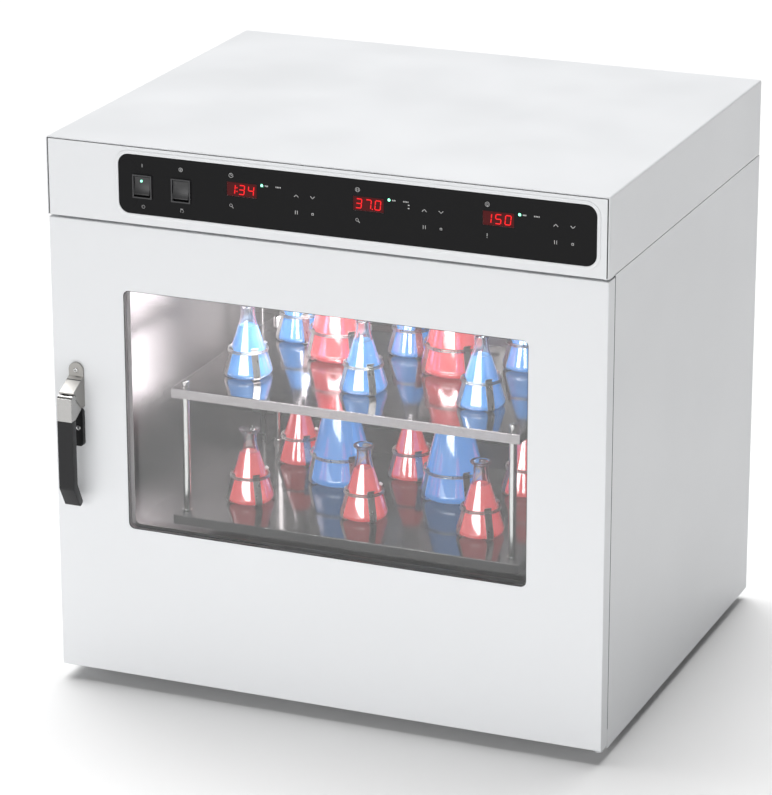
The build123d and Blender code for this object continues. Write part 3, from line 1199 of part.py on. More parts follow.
def clamp(flask):
    """Spring-steel clamp: four arms up the flask's cone, and a ring of wire round them."""
    sheet = CLAMP_SHEET
    foot = flask.radius + CLAMP_GAP
    waist = cone_radius(flask, flask.arm) + CLAMP_GAP
    heel, tip = sheet + flask.heel, sheet + flask.arm
    outline = [(0, 0), (foot + sheet, 0), (foot + sheet, heel), (waist + sheet, tip),
               (waist + sheet + CLAW, tip + CLAW), (waist + CLAW, tip + CLAW + sheet / 2),
               (waist, tip + sheet), (foot, heel), (foot, sheet), (0, sheet)]
    arm = front_plate(Polygon(*outline, align=None), -CLAMP_ARM / 2, CLAMP_ARM / 2)
    springs = Pos(0, 0, sheet / 2) * Cylinder(flask.radius / 2, sheet)
    for index in range(4):
        springs += Rot(0, 0, 45 + 90 * index) * arm
    share = (flask.ring - heel) / (tip - heel)
    outer = foot + sheet + (waist - foot) * share
    wire = Torus(math.hypot(outer, CLAMP_ARM / 2) + SEAT_GAP / 3 + RING_WIRE, RING_WIRE)
    return springs, Pos(0, 0, flask.ring) * wire


def flask_clamps():
    pieces = []
    for flask, spots in ((SMALL_FLASK, SMALL_SPOTS), (LARGE_FLASK, LARGE_SPOTS)):
        for piece in clamp(flask):
            pieces += placed(piece, spots, TIERS, 0)
    return group(pieces)


# ---- Rear inlet ----
def power_inlet():
    """Recessed mains inlet: rim on the rear panel, open socket and three contact blades."""
    half_w, half_h = INLET_WIDTH / 2, INLET_HEIGHT / 2
    body = block(INLET_X - half_w, INLET_X + half_w, REAR - INLET_DEPTH, REAR, INLET_Z - half_h, INLET_Z + half_h)
    rim = Pos(INLET_X, INLET_Z) * RectangleRounded(INLET_WIDTH + 2 * INLET_FLANGE, INLET_HEIGHT + INLET_FLANGE,
                                                   INLET_WALL)
    body += front_plate(rim, REAR, REAR + INLET_RIM)
    floor = REAR + INLET_RIM - SOCKET_DEPTH
    body -= block(INLET_X - half_w + INLET_WALL, INLET_X + half_w - INLET_WALL, floor, REAR + INLET_RIM + 1,
                  INLET_Z - half_h + INLET_WALL, INLET_Z + half_h - INLET_WALL)
    for step, z in ((-1, -BLADE_WIDTH / 4), (0, BLADE_WIDTH / 2), (1, -BLADE_WIDTH / 4)):
        x = INLET_X + step * BLADE_PITCH
        body += block(x - BLADE_WIDTH / 4, x + BLADE_WIDTH / 4, floor - INLET_WALL / 2, floor + BLADE_LENGTH,
                      INLET_Z + z - BLADE_WIDTH / 2, INLET_Z + z + BLADE_WIDTH / 2)
    return body


PIECES = {
    "base_pan": base_pan,
    "feet": feet,
    "left_side_panel": lambda: side_panel(-1),
    "right_side_panel": lambda: side_panel(1),
    "rear_panel": rear_panel,
    "front_frame": front_frame,
    "cover_screws": cover_screws,
    "hood_cover": hood_cover,
    "hood_fascia": hood_fascia,
    "control_film": control_film,
    "display_modules": display_modules,
    "indicator_leds": indicator_leds,
    "control_board": control_board,
    "rocker_bezels": rocker_bezels,
    "power_rocker": lambda: rocker(ROCKER_X[0]),
    "light_rocker": lambda: rocker(ROCKER_X[1]),
    "door_outer_skin": door_outer_skin,
    "door_inner_skin": door_inner_skin,
    "door_insulation": door_insulation,
    "hinge_bushes": hinge_bushes,
    "window_panes": window_panes,
    "window_spacer": window_spacer,
    "door_gasket": door_gasket,
    "hinge_brackets": hinge_brackets,
    "latch_bracket": latch_bracket,
    "latch_lever": latch_lever,
    "latch_grip": latch_grip,
    "latch_base": latch_base,
    "latch_screws": latch_screws,
    "chamber_liner": chamber_liner,
    "chamber_insulation": chamber_insulation,
    "air_baffle": air_baffle,
    "fan_wheel": fan_wheel,
    "fan_motor": fan_motor,
    "heater_element": heater_element,
    "temperature_probe": temperature_probe,
    "chamber_lamp": chamber_lamp,
    "drive_deck": drive_deck,
    "shaft_housings": shaft_housings,
    "ball_bearings": ball_bearings,
    "drive_crank": drive_crank,
    "idler_crank_left": lambda: idler_crank(0),
    "idler_crank_right": lambda: idler_crank(1),
    "crank_pulley": crank_pulley,
    "counterweight": counterweight,
    "motor_pulley": motor_pulley,
    "drive_motor": drive_motor,
    "drive_belt": drive_belt,
    "carriage_frame": carriage_frame,
    "lower_platform": lambda: platform(LOWER_TOP),
    "upper_platform": lambda: platform(UPPER_TOP),
    "platform_posts": platform_posts,
    "post_nuts": post_nuts,
    "flask_clamps": flask_clamps,
    "small_flasks": small_flasks,
    "large_flasks": large_flasks,
    "red_media": red_media,
    "blue_media": blue_media,
    "power_inlet": power_inlet,
}

os.makedirs("parts", exist_ok=True)
for node, make in PIECES.items():
    export_step(make(), f"parts/{node}.step")
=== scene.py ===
import math

import bmesh
import bpy
from mathutils import Matrix, Vector


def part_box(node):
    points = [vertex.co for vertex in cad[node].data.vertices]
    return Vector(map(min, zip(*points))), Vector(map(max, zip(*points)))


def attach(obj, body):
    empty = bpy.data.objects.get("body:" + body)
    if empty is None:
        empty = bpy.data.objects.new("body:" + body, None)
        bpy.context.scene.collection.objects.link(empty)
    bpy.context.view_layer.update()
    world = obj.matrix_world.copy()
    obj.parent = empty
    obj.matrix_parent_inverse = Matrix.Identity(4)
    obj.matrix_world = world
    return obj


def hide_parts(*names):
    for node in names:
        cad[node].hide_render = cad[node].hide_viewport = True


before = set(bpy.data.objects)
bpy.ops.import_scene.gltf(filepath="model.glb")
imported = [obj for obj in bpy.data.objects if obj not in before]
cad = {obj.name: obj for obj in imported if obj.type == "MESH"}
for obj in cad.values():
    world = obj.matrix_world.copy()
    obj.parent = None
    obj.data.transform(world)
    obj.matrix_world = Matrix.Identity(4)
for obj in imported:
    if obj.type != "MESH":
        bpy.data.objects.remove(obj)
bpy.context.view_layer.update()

MM = 0.001


# ---------------------------------------------------------------- mesh helpers
SAME_SPOT = 1e-6               # vertices closer than this are merged
SHARP_ANGLE = math.radians(35.0)  # steeper edges are shaded sharp
SMALL_RADIUS = 1e-7            # corners with less rounding stay sharp
RING_TURNS, WIRE_SIDES = 64, 10
STROKE_OVERLAP = 0.6           # a stroke is longer by this share of its width, so that corners close


def place_piece(name, bm, material, body, replaces=()):
    """Turns a bmesh into a smooth-shaded piece at the origin that rides on a body."""
    bmesh.ops.remove_doubles(bm, verts=bm.verts, dist=SAME_SPOT)
    bmesh.ops.recalc_face_normals(bm, faces=bm.faces)
    mesh = bpy.data.meshes.new(name)
    bm.to_mesh(mesh)
    bm.free()
    mesh.shade_smooth()
    mesh.set_sharp_from_angle(angle=SHARP_ANGLE)
    mesh.materials.append(material)
    piece = bpy.data.objects.new(name, mesh)
    bpy.context.scene.collection.objects.link(piece)
    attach(piece, body)
    if replaces:
        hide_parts(*replaces)


def edges_of(verts):
    """Each edge on some vertices once, in the same order on every run."""
    return list(dict.fromkeys(edge for vert in verts for edge in vert.link_edges))


def new_verts(made):
    """The vertices among the items that an operator made."""
    return [item for item in made["geom"] if isinstance(item, bmesh.types.BMVert)]


def round_edges(bm, edges, width, segments):
    bmesh.ops.bevel(bm, geom=edges, offset=width, offset_type="OFFSET", segments=segments, profile=0.5,
                    affect="EDGES", clamp_overlap=True, material=-1)


def add_block(bm, low, high, bevel=0.0, segments=3):
    """Box between two corners, its edges rounded."""
    made = bmesh.ops.create_cube(bm, size=1.0)
    size = [b - a for a, b in zip(low, high)]
    middle = [(a + b) / 2 for a, b in zip(low, high)]
    bmesh.ops.transform(bm, verts=made["verts"],
                        matrix=Matrix.Translation(middle) @ Matrix.Diagonal((*size, 1.0)))
    if bevel:
        round_edges(bm, edges_of(made["verts"]), bevel, segments)


def add_side_block(bm, side, near, far, low, high, bevel=0.0, segments=2):
    """Box on the left (-1) or right (1) between two distances from the middle, low and high being (y, z)."""
    left, right = sorted((side * near, side * far))
    add_block(bm, (left, *low), (right, *high), bevel, segments)


def add_prism(bm, outline, width, bevel=0.0, segments=3):
    """Outline of points pushed along a width vector, with every edge rounded."""
    verts = [bm.verts.new(point) for point in outline]
    face = bm.faces.new(verts)
    moved = new_verts(bmesh.ops.extrude_face_region(bm, geom=[face]))
    bmesh.ops.translate(bm, verts=moved, vec=width)
    every = verts + moved
    faces = list(dict.fromkeys(face for vert in every for face in vert.link_faces))
    bmesh.ops.recalc_face_normals(bm, faces=faces)
    if bevel:
        round_edges(bm, edges_of(every), bevel, segments)


def rounded_path(points, radii, steps):
    """Polyline whose inner corners are rounded with the given radii."""
    path = [Vector(points[0])]
    for before, corner, after, radius in zip(points, points[1:], points[2:], radii):
        before, corner, after = Vector(before), Vector(corner), Vector(after)
        inward, outward = (before - corner).normalized(), (after - corner).normalized()
        half = inward.angle(outward) / 2
        reach = radius / math.tan(half) if radius else 0.0
        if reach < SMALL_RADIUS:
            path.append(corner)
            continue
        bisector = (inward + outward).normalized()
        centre = corner + bisector * (radius / math.sin(half))
        first = (corner + inward * reach - centre).normalized()
        last = (corner + outward * reach - centre).normalized()
        for step in range(steps + 1):
            path.append(centre + first.slerp(last, step / steps) * radius)
    path.append(Vector(points[-1]))
    return path


def add_lathe(bm, profile, centre, turns=48, axis=(0, 0, 1)):
    """Profile of (radius, height) points spun round an axis through a centre."""
    up = Vector(axis)
    side = up.orthogonal().normalized()
    verts = [bm.verts.new(Vector(centre) + side * point[0] + up * point[1]) for point in profile]
    edges = [bm.edges.new(pair) for pair in zip(verts, verts[1:])]
    bmesh.ops.spin(bm, geom=verts + edges, cent=centre, axis=up, dvec=(0, 0, 0), angle=math.tau,
                   steps=turns, use_merge=True, use_duplicate=False)


def add_ring(bm, centre, radius, wire):
    """Wire ring lying flat."""
    made = bmesh.ops.create_circle(bm, cap_ends=False, segments=WIRE_SIDES, radius=wire)
    stand = Matrix.Translation(Vector(centre) + Vector((radius, 0, 0))) @ Matrix.Rotation(math.pi / 2, 4, "X")
    bmesh.ops.transform(bm, verts=made["verts"], matrix=stand)
    bmesh.ops.spin(bm, geom=made["verts"] + edges_of(made["verts"]), cent=centre, axis=(0, 0, 1),
                   dvec=(0, 0, 0), angle=math.tau, steps=RING_TURNS, use_merge=True, use_duplicate=False)


def stamp(bm, model, places):
    """Copies of a finished model at several places."""
    shape = bpy.data.meshes.new("model")
    model.to_mesh(shape)
    model.free()
    for place in places:
        moved = shape.copy()
        moved.transform(Matrix.Translation(place))
        bm.from_mesh(moved)
        bpy.data.meshes.remove(moved)
    bpy.data.meshes.remove(shape)


def add_stroke(bm, start, end, width):
    """Flat printed stroke on the front of the hood, between two (x, z) points."""
    start, end = Vector(start), Vector(end)
    along = end - start
    made = bmesh.ops.create_cube(bm, size=1.0)
    turn = Matrix.Rotation(-math.atan2(along.y, along.x), 4, "Y")
    middle = (start + end) / 2
    place = Matrix.Translation((middle.x, FILM_Y - PRINT / 2, middle.y)) @ turn
    size = Matrix.Diagonal((along.length + width * STROKE_OVERLAP, PRINT, width, 1.0))
    bmesh.ops.transform(bm, verts=made["verts"], matrix=place @ size)


def add_loop(bm, middle, radius, width, start=0.0, sweep=360.0, steps=16):
    """Printed ring or arc made of strokes."""
    spots = [Vector((middle[0] + radius * math.cos(math.radians(start + sweep * i / steps)),
                     middle[1] + radius * math.sin(math.radians(start + sweep * i / steps))))
             for i in range(steps + 1)]
    for first, last in zip(spots, spots[1:]):
        add_stroke(bm, first, last, width)


# ---------------------------------------------------------------- node groups
def make_group(name, inputs, outputs):
    """Empty shader group with named sockets."""
    group = bpy.data.node_groups.new(name, "ShaderNodeTree")
    for label, kind, value in inputs:
        group.interface.new_socket(label, in_out="INPUT", socket_type=kind).default_value = value
    for label, kind in outputs:
        group.interface.new_socket(label, in_out="OUTPUT", socket_type=kind)
    return group, group.nodes.new("NodeGroupInput"), group.nodes.new("NodeGroupOutput")


def maths(tree, operation, first, second):
    """Math node between two values, each a number or another node's output."""
    node = tree.nodes.new("ShaderNodeMath")
    node.operation = operation
    for socket, value in zip(node.inputs, (first, second)):
        if isinstance(value, float):
            socket.default_value = value
        else:
            tree.links.new(value, socket)
    return node.outputs[0]


def add_noise(group, vector, detail):
    """Noise that reads a vector; its scale is set or linked afterwards."""
    noise = group.nodes.new("ShaderNodeTexNoise")
    noise.inputs["Detail"].default_value = detail
    group.links.new(vector, noise.inputs["Vector"])
    return noise


def spread_noise(group, noise, low, high, inside, outside):
    """Stretches the middle of a noise over the group's Low to High and puts it out as Value."""
    spread = group.nodes.new("ShaderNodeMapRange")
    spread.inputs["From Min"].default_value = low
    spread.inputs["From Max"].default_value = high
    group.links.new(noise.outputs["Fac"], spread.inputs["Value"])
    group.links.new(inside.outputs["Low"], spread.inputs["To Min"])
    group.links.new(inside.outputs["High"], spread.inputs["To Max"])
    group.links.new(spread.outputs["Result"], outside.inputs["Value"])


FLOAT, VECTOR = "NodeSocketFloat", "NodeSocketVector"
EDGE_GAIN = 3.0                # how fast the edge mask rises where the normals part


def soft_edge_group():
    """Rounds the look of sharp edges and finds where they are."""
    group, inside, outside = make_group("soft_edges", [("Radius", FLOAT, 0.0006)],
                                        [("Normal", VECTOR), ("Edge", FLOAT)])
    bevel = group.nodes.new("ShaderNodeBevel")
    bevel.samples = 4
    group.links.new(inside.outputs["Radius"], bevel.inputs["Radius"])
    geometry = group.nodes.new("ShaderNodeNewGeometry")
    dot = group.nodes.new("ShaderNodeVectorMath")
    dot.operation = "DOT_PRODUCT"
    group.links.new(bevel.outputs[0], dot.inputs[0])
    group.links.new(geometry.outputs["Normal"], dot.inputs[1])
    lost = maths(group, "SUBTRACT", 1.0, dot.outputs["Value"])
    edge = maths(group, "MULTIPLY", lost, EDGE_GAIN)
    group.links.new(bevel.outputs[0], outside.inputs["Normal"])
    group.links.new(maths(group, "MINIMUM", edge, 1.0), outside.inputs["Edge"])
    return group


def grain_group():
    """Fine even grain of powder coat, moulded plastic or cast metal."""
    group, inside, outside = make_group(
        "surface_grain", [("Scale", FLOAT, 900.0), ("Low", FLOAT, 0.0), ("High", FLOAT, 1.0)],
        [("Value", FLOAT), ("Height", FLOAT)])
    place = group.nodes.new("ShaderNodeTexCoord").outputs["Object"]
    fine = add_noise(group, place, 2.0)
    group.links.new(inside.outputs["Scale"], fine.inputs["Scale"])
    broad = add_noise(group, place, 3.0)
    broad.inputs["Scale"].default_value = 7.0
    spread_noise(group, broad, 0.3, 0.7, inside, outside)
    group.links.new(fine.outputs["Fac"], outside.inputs["Height"])
    return group


def brushed_group():
    """Long fine scratches along one axis of the piece."""
    group, inside, outside = make_group(
        "brushed_lines", [("Stretch", VECTOR, (6.0, 900.0, 900.0)), ("Low", FLOAT, 0.2), ("High", FLOAT, 0.35)],
        [("Value", FLOAT), ("Height", FLOAT)])
    coords = group.nodes.new("ShaderNodeTexCoord")
    scale = group.nodes.new("ShaderNodeVectorMath")
    scale.operation = "MULTIPLY"
    group.links.new(coords.outputs["Object"], scale.inputs[0])
    group.links.new(inside.outputs["Stretch"], scale.inputs[1])
    lines = add_noise(group, scale.outputs[0], 3.0)
    lines.inputs["Scale"].default_value = 1.0
    spread_noise(group, lines, 0.35, 0.65, inside, outside)
    group.links.new(lines.outputs["Fac"], outside.inputs["Height"])
    return group


SOFT_EDGES = soft_edge_group()
GRAIN = grain_group()
BRUSHED = brushed_group()


# ---------------------------------------------------------------- materials
def shader_material(name, base, roughness, metallic=0.0, **sockets):
    """Material with one Principled shader; a colour is red, green, blue."""
    material = bpy.data.materials.new(name)
    material.use_nodes = True
    shader = material.node_tree.nodes["Principled BSDF"]
    shader.inputs["Base Color"].default_value = (*base, 1.0)
    shader.inputs["Roughness"].default_value = roughness
    shader.inputs["Metallic"].default_value = metallic
    for label, value in sockets.items():
        socket = shader.inputs[label.replace("_", " ")]
        socket.default_value = (*value, 1.0) if isinstance(value, tuple) else value
    material.diffuse_color = (*base, 1.0)
    return material, material.node_tree, shader


def use_group(tree, group, **values):
    """Places a group in a material with this material's own values."""
    node = tree.nodes.new("ShaderNodeGroup")
    node.node_tree = group
    for label, value in values.items():
        node.inputs[label].default_value = value
    return node


def dress_surface(tree, shader, texture, edge, bump):
    """Feeds a texture's value to the gloss and its height to a bump over softened edges."""
    tree.links.new(texture.outputs["Value"], shader.inputs["Roughness"])
    soft = use_group(tree, SOFT_EDGES, Radius=edge)
    rise = tree.nodes.new("ShaderNodeBump")
    rise.inputs["Strength"].default_value = bump
    rise.inputs["Distance"].default_value = 0.001
    tree.links.new(texture.outputs["Height"], rise.inputs["Height"])
    tree.links.new(soft.outputs["Normal"], rise.inputs["Normal"])
    tree.links.new(rise.outputs["Normal"], shader.inputs["Normal"])
    return soft


def grained(name, base, roughness, metallic=0.0, spread=0.06, scale=900.0, bump=0.02, edge=0.0006, painted_edge_highlight=0.0,
            **sockets):
    """Painted, moulded or cast finish: fine grain, uneven gloss and softened edges, and where asked a painted
    highlight along the edges.
    """
    material, tree, shader = shader_material(name, base, roughness, metallic, **sockets)
    grain = use_group(tree, GRAIN, Scale=scale, Low=roughness - spread, High=roughness + spread)
    soft = dress_surface(tree, shader, grain, edge, bump)
    # painted highlight: the base colour is lightened along sharp edges, where light would catch them
    if painted_edge_highlight:
        mix = tree.nodes.new("ShaderNodeMix")
        mix.data_type = "RGBA"
        mix.inputs["A"].default_value = (*base, 1.0)
        mix.inputs["B"].default_value = (*[min(1.0, c + painted_edge_highlight) for c in base], 1.0)
        tree.links.new(soft.outputs["Edge"], mix.inputs["Factor"])
        tree.links.new(mix.outputs["Result"], shader.inputs["Base Color"])
    return material


def brushed(name, base, low, high, stretch, bump=0.03, edge=0.0005, shine=1.0):
    """Ground or polished metal with fine lines along one axis."""
    material, tree, shader = shader_material(name, base, (low + high) / 2, shine)
    dress_surface(tree, shader, use_group(tree, BRUSHED, Stretch=stretch, Low=low, High=high), edge, bump)
    return material


def clear_glass(name, tint, ior, gloss, passed, **sockets):
    """Clear glass; a shadow ray goes straight through each face and keeps the share that is passed."""
    material, tree, shader = shader_material(name, tint, 0.0, Transmission_Weight=1.0, IOR=ior,
                                             Specular_IOR_Level=gloss, **sockets)
    path = tree.nodes.new("ShaderNodeLightPath")
    through = tree.nodes.new("ShaderNodeBsdfTransparent")
    through.inputs["Color"].default_value = (*[passed * c for c in tint], 1.0)
    mix = tree.nodes.new("ShaderNodeMixShader")
    output = tree.nodes["Material Output"]
    tree.links.new(path.outputs["Is Shadow Ray"], mix.inputs["Fac"])
    tree.links.new(shader.outputs[0], mix.inputs[1])
    tree.links.new(through.outputs[0], mix.inputs[2])
    tree.links.new(mix.outputs[0], output.inputs["Surface"])
    return material


white_paint = grained("white_powder_coat", (0.68, 0.69, 0.704), 0.38, spread=0.05, bump=0.012, edge=0.0009)
hood_paint = grained("hood_powder_coat", (0.68, 0.69, 0.704), 0.36, spread=0.05, bump=0.012, edge=0.0009)
film_black = grained("black_film", (0.0065, 0.0065, 0.007), 0.3, spread=0.04, bump=0.0, edge=0.0002,
                     Specular_IOR_Level=0.1)
print_white = grained("printed_white", (0.5, 0.5, 0.5), 0.5, bump=0.0, edge=0.0001)
display_glass = shader_material("display_window", (0.02, 0.0, 0.0), 0.3, Specular_IOR_Level=0.15,
                                Emission_Color=(0.05, 0.001, 0.002), Emission_Strength=1.0)[0]
digit_red = shader_material("lit_segments", (0.4, 0.01, 0.01), 0.5, Specular_IOR_Level=0.1,
                            Emission_Color=(0.86, 0.012, 0.016), Emission_Strength=1.0)[0]
lamp_lit = shader_material("lit_lamp", (0.3, 0.9, 0.65), 0.3, Emission_Color=(0.3, 1.0, 0.66),
                           Emission_Strength=1.6)[0]
# the switch, frame and grip plastics get a painted highlight along their edges
switch_black = grained("switch_plastic", (0.02, 0.02, 0.021), 0.42, scale=1500.0, bump=0.03, edge=0.0004,
                       painted_edge_highlight=0.015)
bezel_black = grained("switch_frame", (0.026, 0.026, 0.028), 0.4, scale=1500.0, bump=0.02, edge=0.0003,
                      painted_edge_highlight=0.03)
grip_black = grained("grip_plastic", (0.01, 0.01, 0.011), 0.36, scale=1300.0, bump=0.03, edge=0.0008,
                     painted_edge_highlight=0.012, Specular_IOR_Level=0.3)
cast_silver = grained("satin_casting", (0.43, 0.425, 0.415), 0.3, 1.0, scale=1400.0, bump=0.03, edge=0.0012)
lug_steel = grained("lug_steel", (0.34, 0.33, 0.315), 0.36, 1.0, scale=1400.0, bump=0.03, edge=0.0008)
screw_steel = brushed("screw_steel", (0.62, 0.62, 0.62), 0.2, 0.34, (700.0, 700.0, 60.0))
# painted reflection: the chamber's steel greys carry a slight pink tint, standing in for the red medium mirrored in
# them
liner_steel_pink_painted_reflection = brushed("liner_steel_pink_painted_reflection", (0.27, 0.257, 0.26), 0.19, 0.23, (300.0, 4.0, 4.0), bump=0.0, shine=0.85)
wall_steel_pink_painted_reflection = brushed("wall_plate_steel_pink_painted_reflection", (0.26, 0.247, 0.251), 0.2, 0.24, (4.0, 4.0, 300.0), bump=0.0, shine=0.85)
tray_steel_pink_painted_reflection = brushed("tray_steel_pink_painted_reflection", (0.39, 0.364, 0.371), 0.06, 0.12, (3.0, 300.0, 300.0), bump=0.0)
# painted shade: the lower platform gets a darker copy of the tray steel, for the shade under the upper platform
lower_tray_painted_shade = brushed("lower_tray_painted_shade", (0.15, 0.142, 0.142), 0.06, 0.12, (3.0, 300.0, 300.0), bump=0.0)
post_steel = brushed("post_steel", (0.72, 0.72, 0.71), 0.10, 0.2, (600.0, 600.0, 5.0), bump=0.01)
spring_steel = brushed("spring_steel", (0.62, 0.62, 0.6), 0.26, 0.36, (400.0, 400.0, 60.0), bump=0.01)
stainless = brushed("stainless", (0.28, 0.28, 0.275), 0.26, 0.34, (5.0, 300.0, 300.0), bump=0.0)
zinc_steel = grained("zinc_plate", (0.55, 0.56, 0.57), 0.42, 1.0, scale=300.0, bump=0.02)
shaft_steel = brushed("ground_shaft", (0.5, 0.5, 0.5), 0.2, 0.32, (700.0, 700.0, 60.0))
alloy = grained("machined_alloy", (0.62, 0.62, 0.63), 0.34, 1.0, scale=700.0, bump=0.03)
iron_grey = grained("machined_iron", (0.16, 0.16, 0.165), 0.5, 0.8, scale=500.0, bump=0.08)
motor_black = grained("motor_paint", (0.03, 0.03, 0.033), 0.45, scale=700.0, bump=0.05)
seal_rubber = grained("seal_rubber", (0.04, 0.04, 0.042), 0.65, scale=500.0, bump=0.06)
foot_rubber = grained("foot_rubber", (0.02, 0.02, 0.02), 0.75, scale=400.0, bump=0.08)
spacer_steel = brushed("pane_spacer", (0.7, 0.68, 0.69), 0.28, 0.34, (60.0, 60.0, 60.0), bump=0.0)
# painted shade: near-black for the strips and marks that stand in for shade in seams, gaps, the latch's groove and
# screw recesses
painted_shade_dark = grained("painted_shade_black", (0.03, 0.03, 0.032), 0.5, bump=0.0)
# painted light: a lighter, more diffuse finish for the strip on the window's left edge
painted_light_silver = grained("painted_light_strip", (0.5, 0.48, 0.485), 0.4, 0.3, bump=0.0)
# painted shade: a much darker copy of the liner steel for strips on the chamber floor under the platforms
floor_painted_shade_steel = brushed("floor_strip_painted_shade", (0.11, 0.104, 0.105), 0.3, 0.4, (300.0, 4.0, 4.0), bump=0.0, shine=0.8)
wool_board = grained("wool_board", (0.62, 0.58, 0.46), 0.95, scale=250.0, bump=0.5)
board_green = grained("circuit_board", (0.02, 0.13, 0.06), 0.4, scale=300.0, bump=0.04)
bush_bronze = grained("sintered_bronze", (0.55, 0.38, 0.18), 0.45, 1.0, scale=900.0, bump=0.08)
lamp_opal = shader_material("opal_diffuser", (0.95, 0.95, 0.93), 0.4, Emission_Color=(1.0, 0.98, 0.94),
                            Emission_Strength=2.0)[0]
inlet_black = grained("inlet_plastic", (0.02, 0.02, 0.021), 0.45, scale=900.0, bump=0.04)
window_glass = clear_glass("window_glass", (0.985, 0.99, 0.99), 1.45, 0.12, 0.5)
flask_glass = clear_glass("flask_glass", (0.97, 0.985, 0.99), 1.47, 0.7, 0.97, Sheen_Weight=0.4,
                          Sheen_Roughness=0.35, Sheen_Tint=(0.72, 0.5, 1.0), Coat_Weight=1.0, Coat_IOR=1.8,
                          Coat_Roughness=0.04)


def medium_material(name, colour, painted_glow):
    """Coloured culture medium, deep and glossy, with a painted glow of its own colour though it is no lamp."""
    # painted glow: emission of strength 0.75 keeps the medium's colour bright without a lamp
    material, tree, shader = shader_material(
        name, colour, 0.16, Coat_Weight=1.0, Coat_Roughness=0.03, Coat_IOR=2.6, Sheen_Weight=0.6,
        Sheen_Roughness=0.3, Sheen_Tint=(0.5, 0.25, 1.0), Emission_Color=painted_glow, Emission_Strength=0.75)
    grain = use_group(tree, GRAIN, Scale=40.0, Low=0.12, High=0.2)
    tree.links.new(grain.outputs["Value"], shader.inputs["Roughness"])
    return material


# both media carry a painted glow in their own colour
red_medium = medium_material("red_medium", (0.86, 0.14, 0.15), (0.8, 0.11, 0.12))
blue_medium = medium_material("blue_medium", (0.16, 0.46, 0.88), (0.09, 0.32, 0.76))

FINISH = {
    "base_pan": white_paint, "feet": foot_rubber, "left_side_panel": white_paint, "right_side_panel": white_paint,
    "rear_panel": white_paint, "front_frame": white_paint, "cover_screws": screw_steel, "hood_cover": hood_paint,
    "hood_fascia": hood_paint, "control_film": film_black, "display_modules": display_glass,
    "indicator_leds": lamp_lit, "control_board": board_green, "rocker_bezels": bezel_black,
    "hinge_brackets": zinc_steel, "chamber_liner": liner_steel_pink_painted_reflection, "chamber_insulation": wool_board,
    "air_baffle": stainless, "fan_motor": motor_black, "heater_element": stainless,
    "temperature_probe": stainless, "chamber_lamp": lamp_opal, "drive_deck": zinc_steel,
    "shaft_housings": iron_grey, "ball_bearings": shaft_steel, "drive_motor": motor_black,
    "drive_belt": seal_rubber, "power_inlet": inlet_black, "door_outer_skin": white_paint,
    "door_inner_skin": stainless, "door_insulation": wool_board, "hinge_bushes": bush_bronze,
    "window_panes": window_glass, "window_spacer": spacer_steel, "door_gasket": seal_rubber,
    "latch_bracket": lug_steel, "latch_base": grip_black, "latch_screws": screw_steel,
    "latch_lever": cast_silver, "latch_grip": grip_black, "power_rocker": switch_black,
    "light_rocker": switch_black, "drive_crank": shaft_steel, "crank_pulley": alloy, "counterweight": iron_grey,
    "idler_crank_left": shaft_steel, "idler_crank_right": shaft_steel, "carriage_frame": alloy,
    "lower_platform": lower_tray_painted_shade, "upper_platform": tray_steel_pink_painted_reflection, "platform_posts": post_steel,
    "post_nuts": post_steel, "flask_clamps": spring_steel, "small_flasks": flask_glass,
    "large_flasks": flask_glass, "red_media": red_medium, "blue_media": blue_medium, "motor_pulley": alloy,
    "fan_wheel": alloy,
}
for node, piece in cad.items():
    piece.data.materials.clear()
    piece.data.materials.append(FINISH[node])


# ---------------------------------------------------------------- flasks
class FlaskSize:
    """Outer measures of a flask, given in millimetres."""

    def __init__(self, radius, height, neck, lip, shoulder, heel, level, ring):
        self.radius, self.height, self.neck, self.lip = radius * MM, height * MM, neck * MM, lip * MM
        self.shoulder, self.heel, self.level, self.ring = shoulder * MM, heel * MM, level * MM, ring * MM

    def lean(self):
        """Angle of the cone's wall from upright."""
        return math.atan((self.radius - self.neck) / self.shoulder)

    def cone(self, height):
        """Radius of the outer cone at a height."""
        lean = self.lean()
        sharp = self.radius + self.heel * ((1 + math.sin(lean)) / math.cos(lean) - 1)
        return sharp - height * math.tan(lean)


SMALL = FlaskSize(radius=29.0, height=92.0, neck=8.8, lip=13.0, shoulder=66.0, heel=6.0, level=63.0, ring=35.0)
LARGE = FlaskSize(radius=41.5, height=140.0, neck=16.6, lip=22.0, shoulder=104.0, heel=9.0, level=92.0, ring=38.0)
GLASS_WALL = 1.8 * MM
NECK_BEND = 50 * MM            # rounding where the cone turns into the neck
LIP_START = 6 * MM             # lip's lower end below the flask's top
INNER_TOP = 4 * MM             # inner wall's upper end below the flask's top
MEDIUM_OVERLAP = 0.05 * MM     # medium reaches into the glass, so that no air shows between them
MENISCUS = ((0.8, 0.9), (2.5, 1.4))   # points of the dished top, inwards and below the level
WALL_STEPS = 8
CLAMP_SHEET = 1.0 * MM
FLASK_SHIFT, FLASK_PITCH = -7.0, 152.0
SMALL_ROWS, LARGE_ROW = (82.0, 236.0), 190.0   # behind the platforms' front edge
TRAY_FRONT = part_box("lower_platform")[0].y
TIERS = [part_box("lower_platform")[1].z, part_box("upper_platform")[1].z]


def tray_spot(step, row):
    """Place of a flask's axis, a number of pitches from the middle and a row behind the front edge."""
    return (FLASK_SHIFT + step * FLASK_PITCH) * MM, TRAY_FRONT + row * MM


SMALL_SPOTS = [tray_spot(step, row) for row in SMALL_ROWS for step in (-1, 0, 1)]
LARGE_SPOTS = [tray_spot(step, LARGE_ROW) for step in (-0.5, 0.5)]


def rounded_profile(points, radii, steps):
    """Rounded path through (radius, height) points."""
    return rounded_path([(radius, height, 0) for radius, height in points], radii, steps)


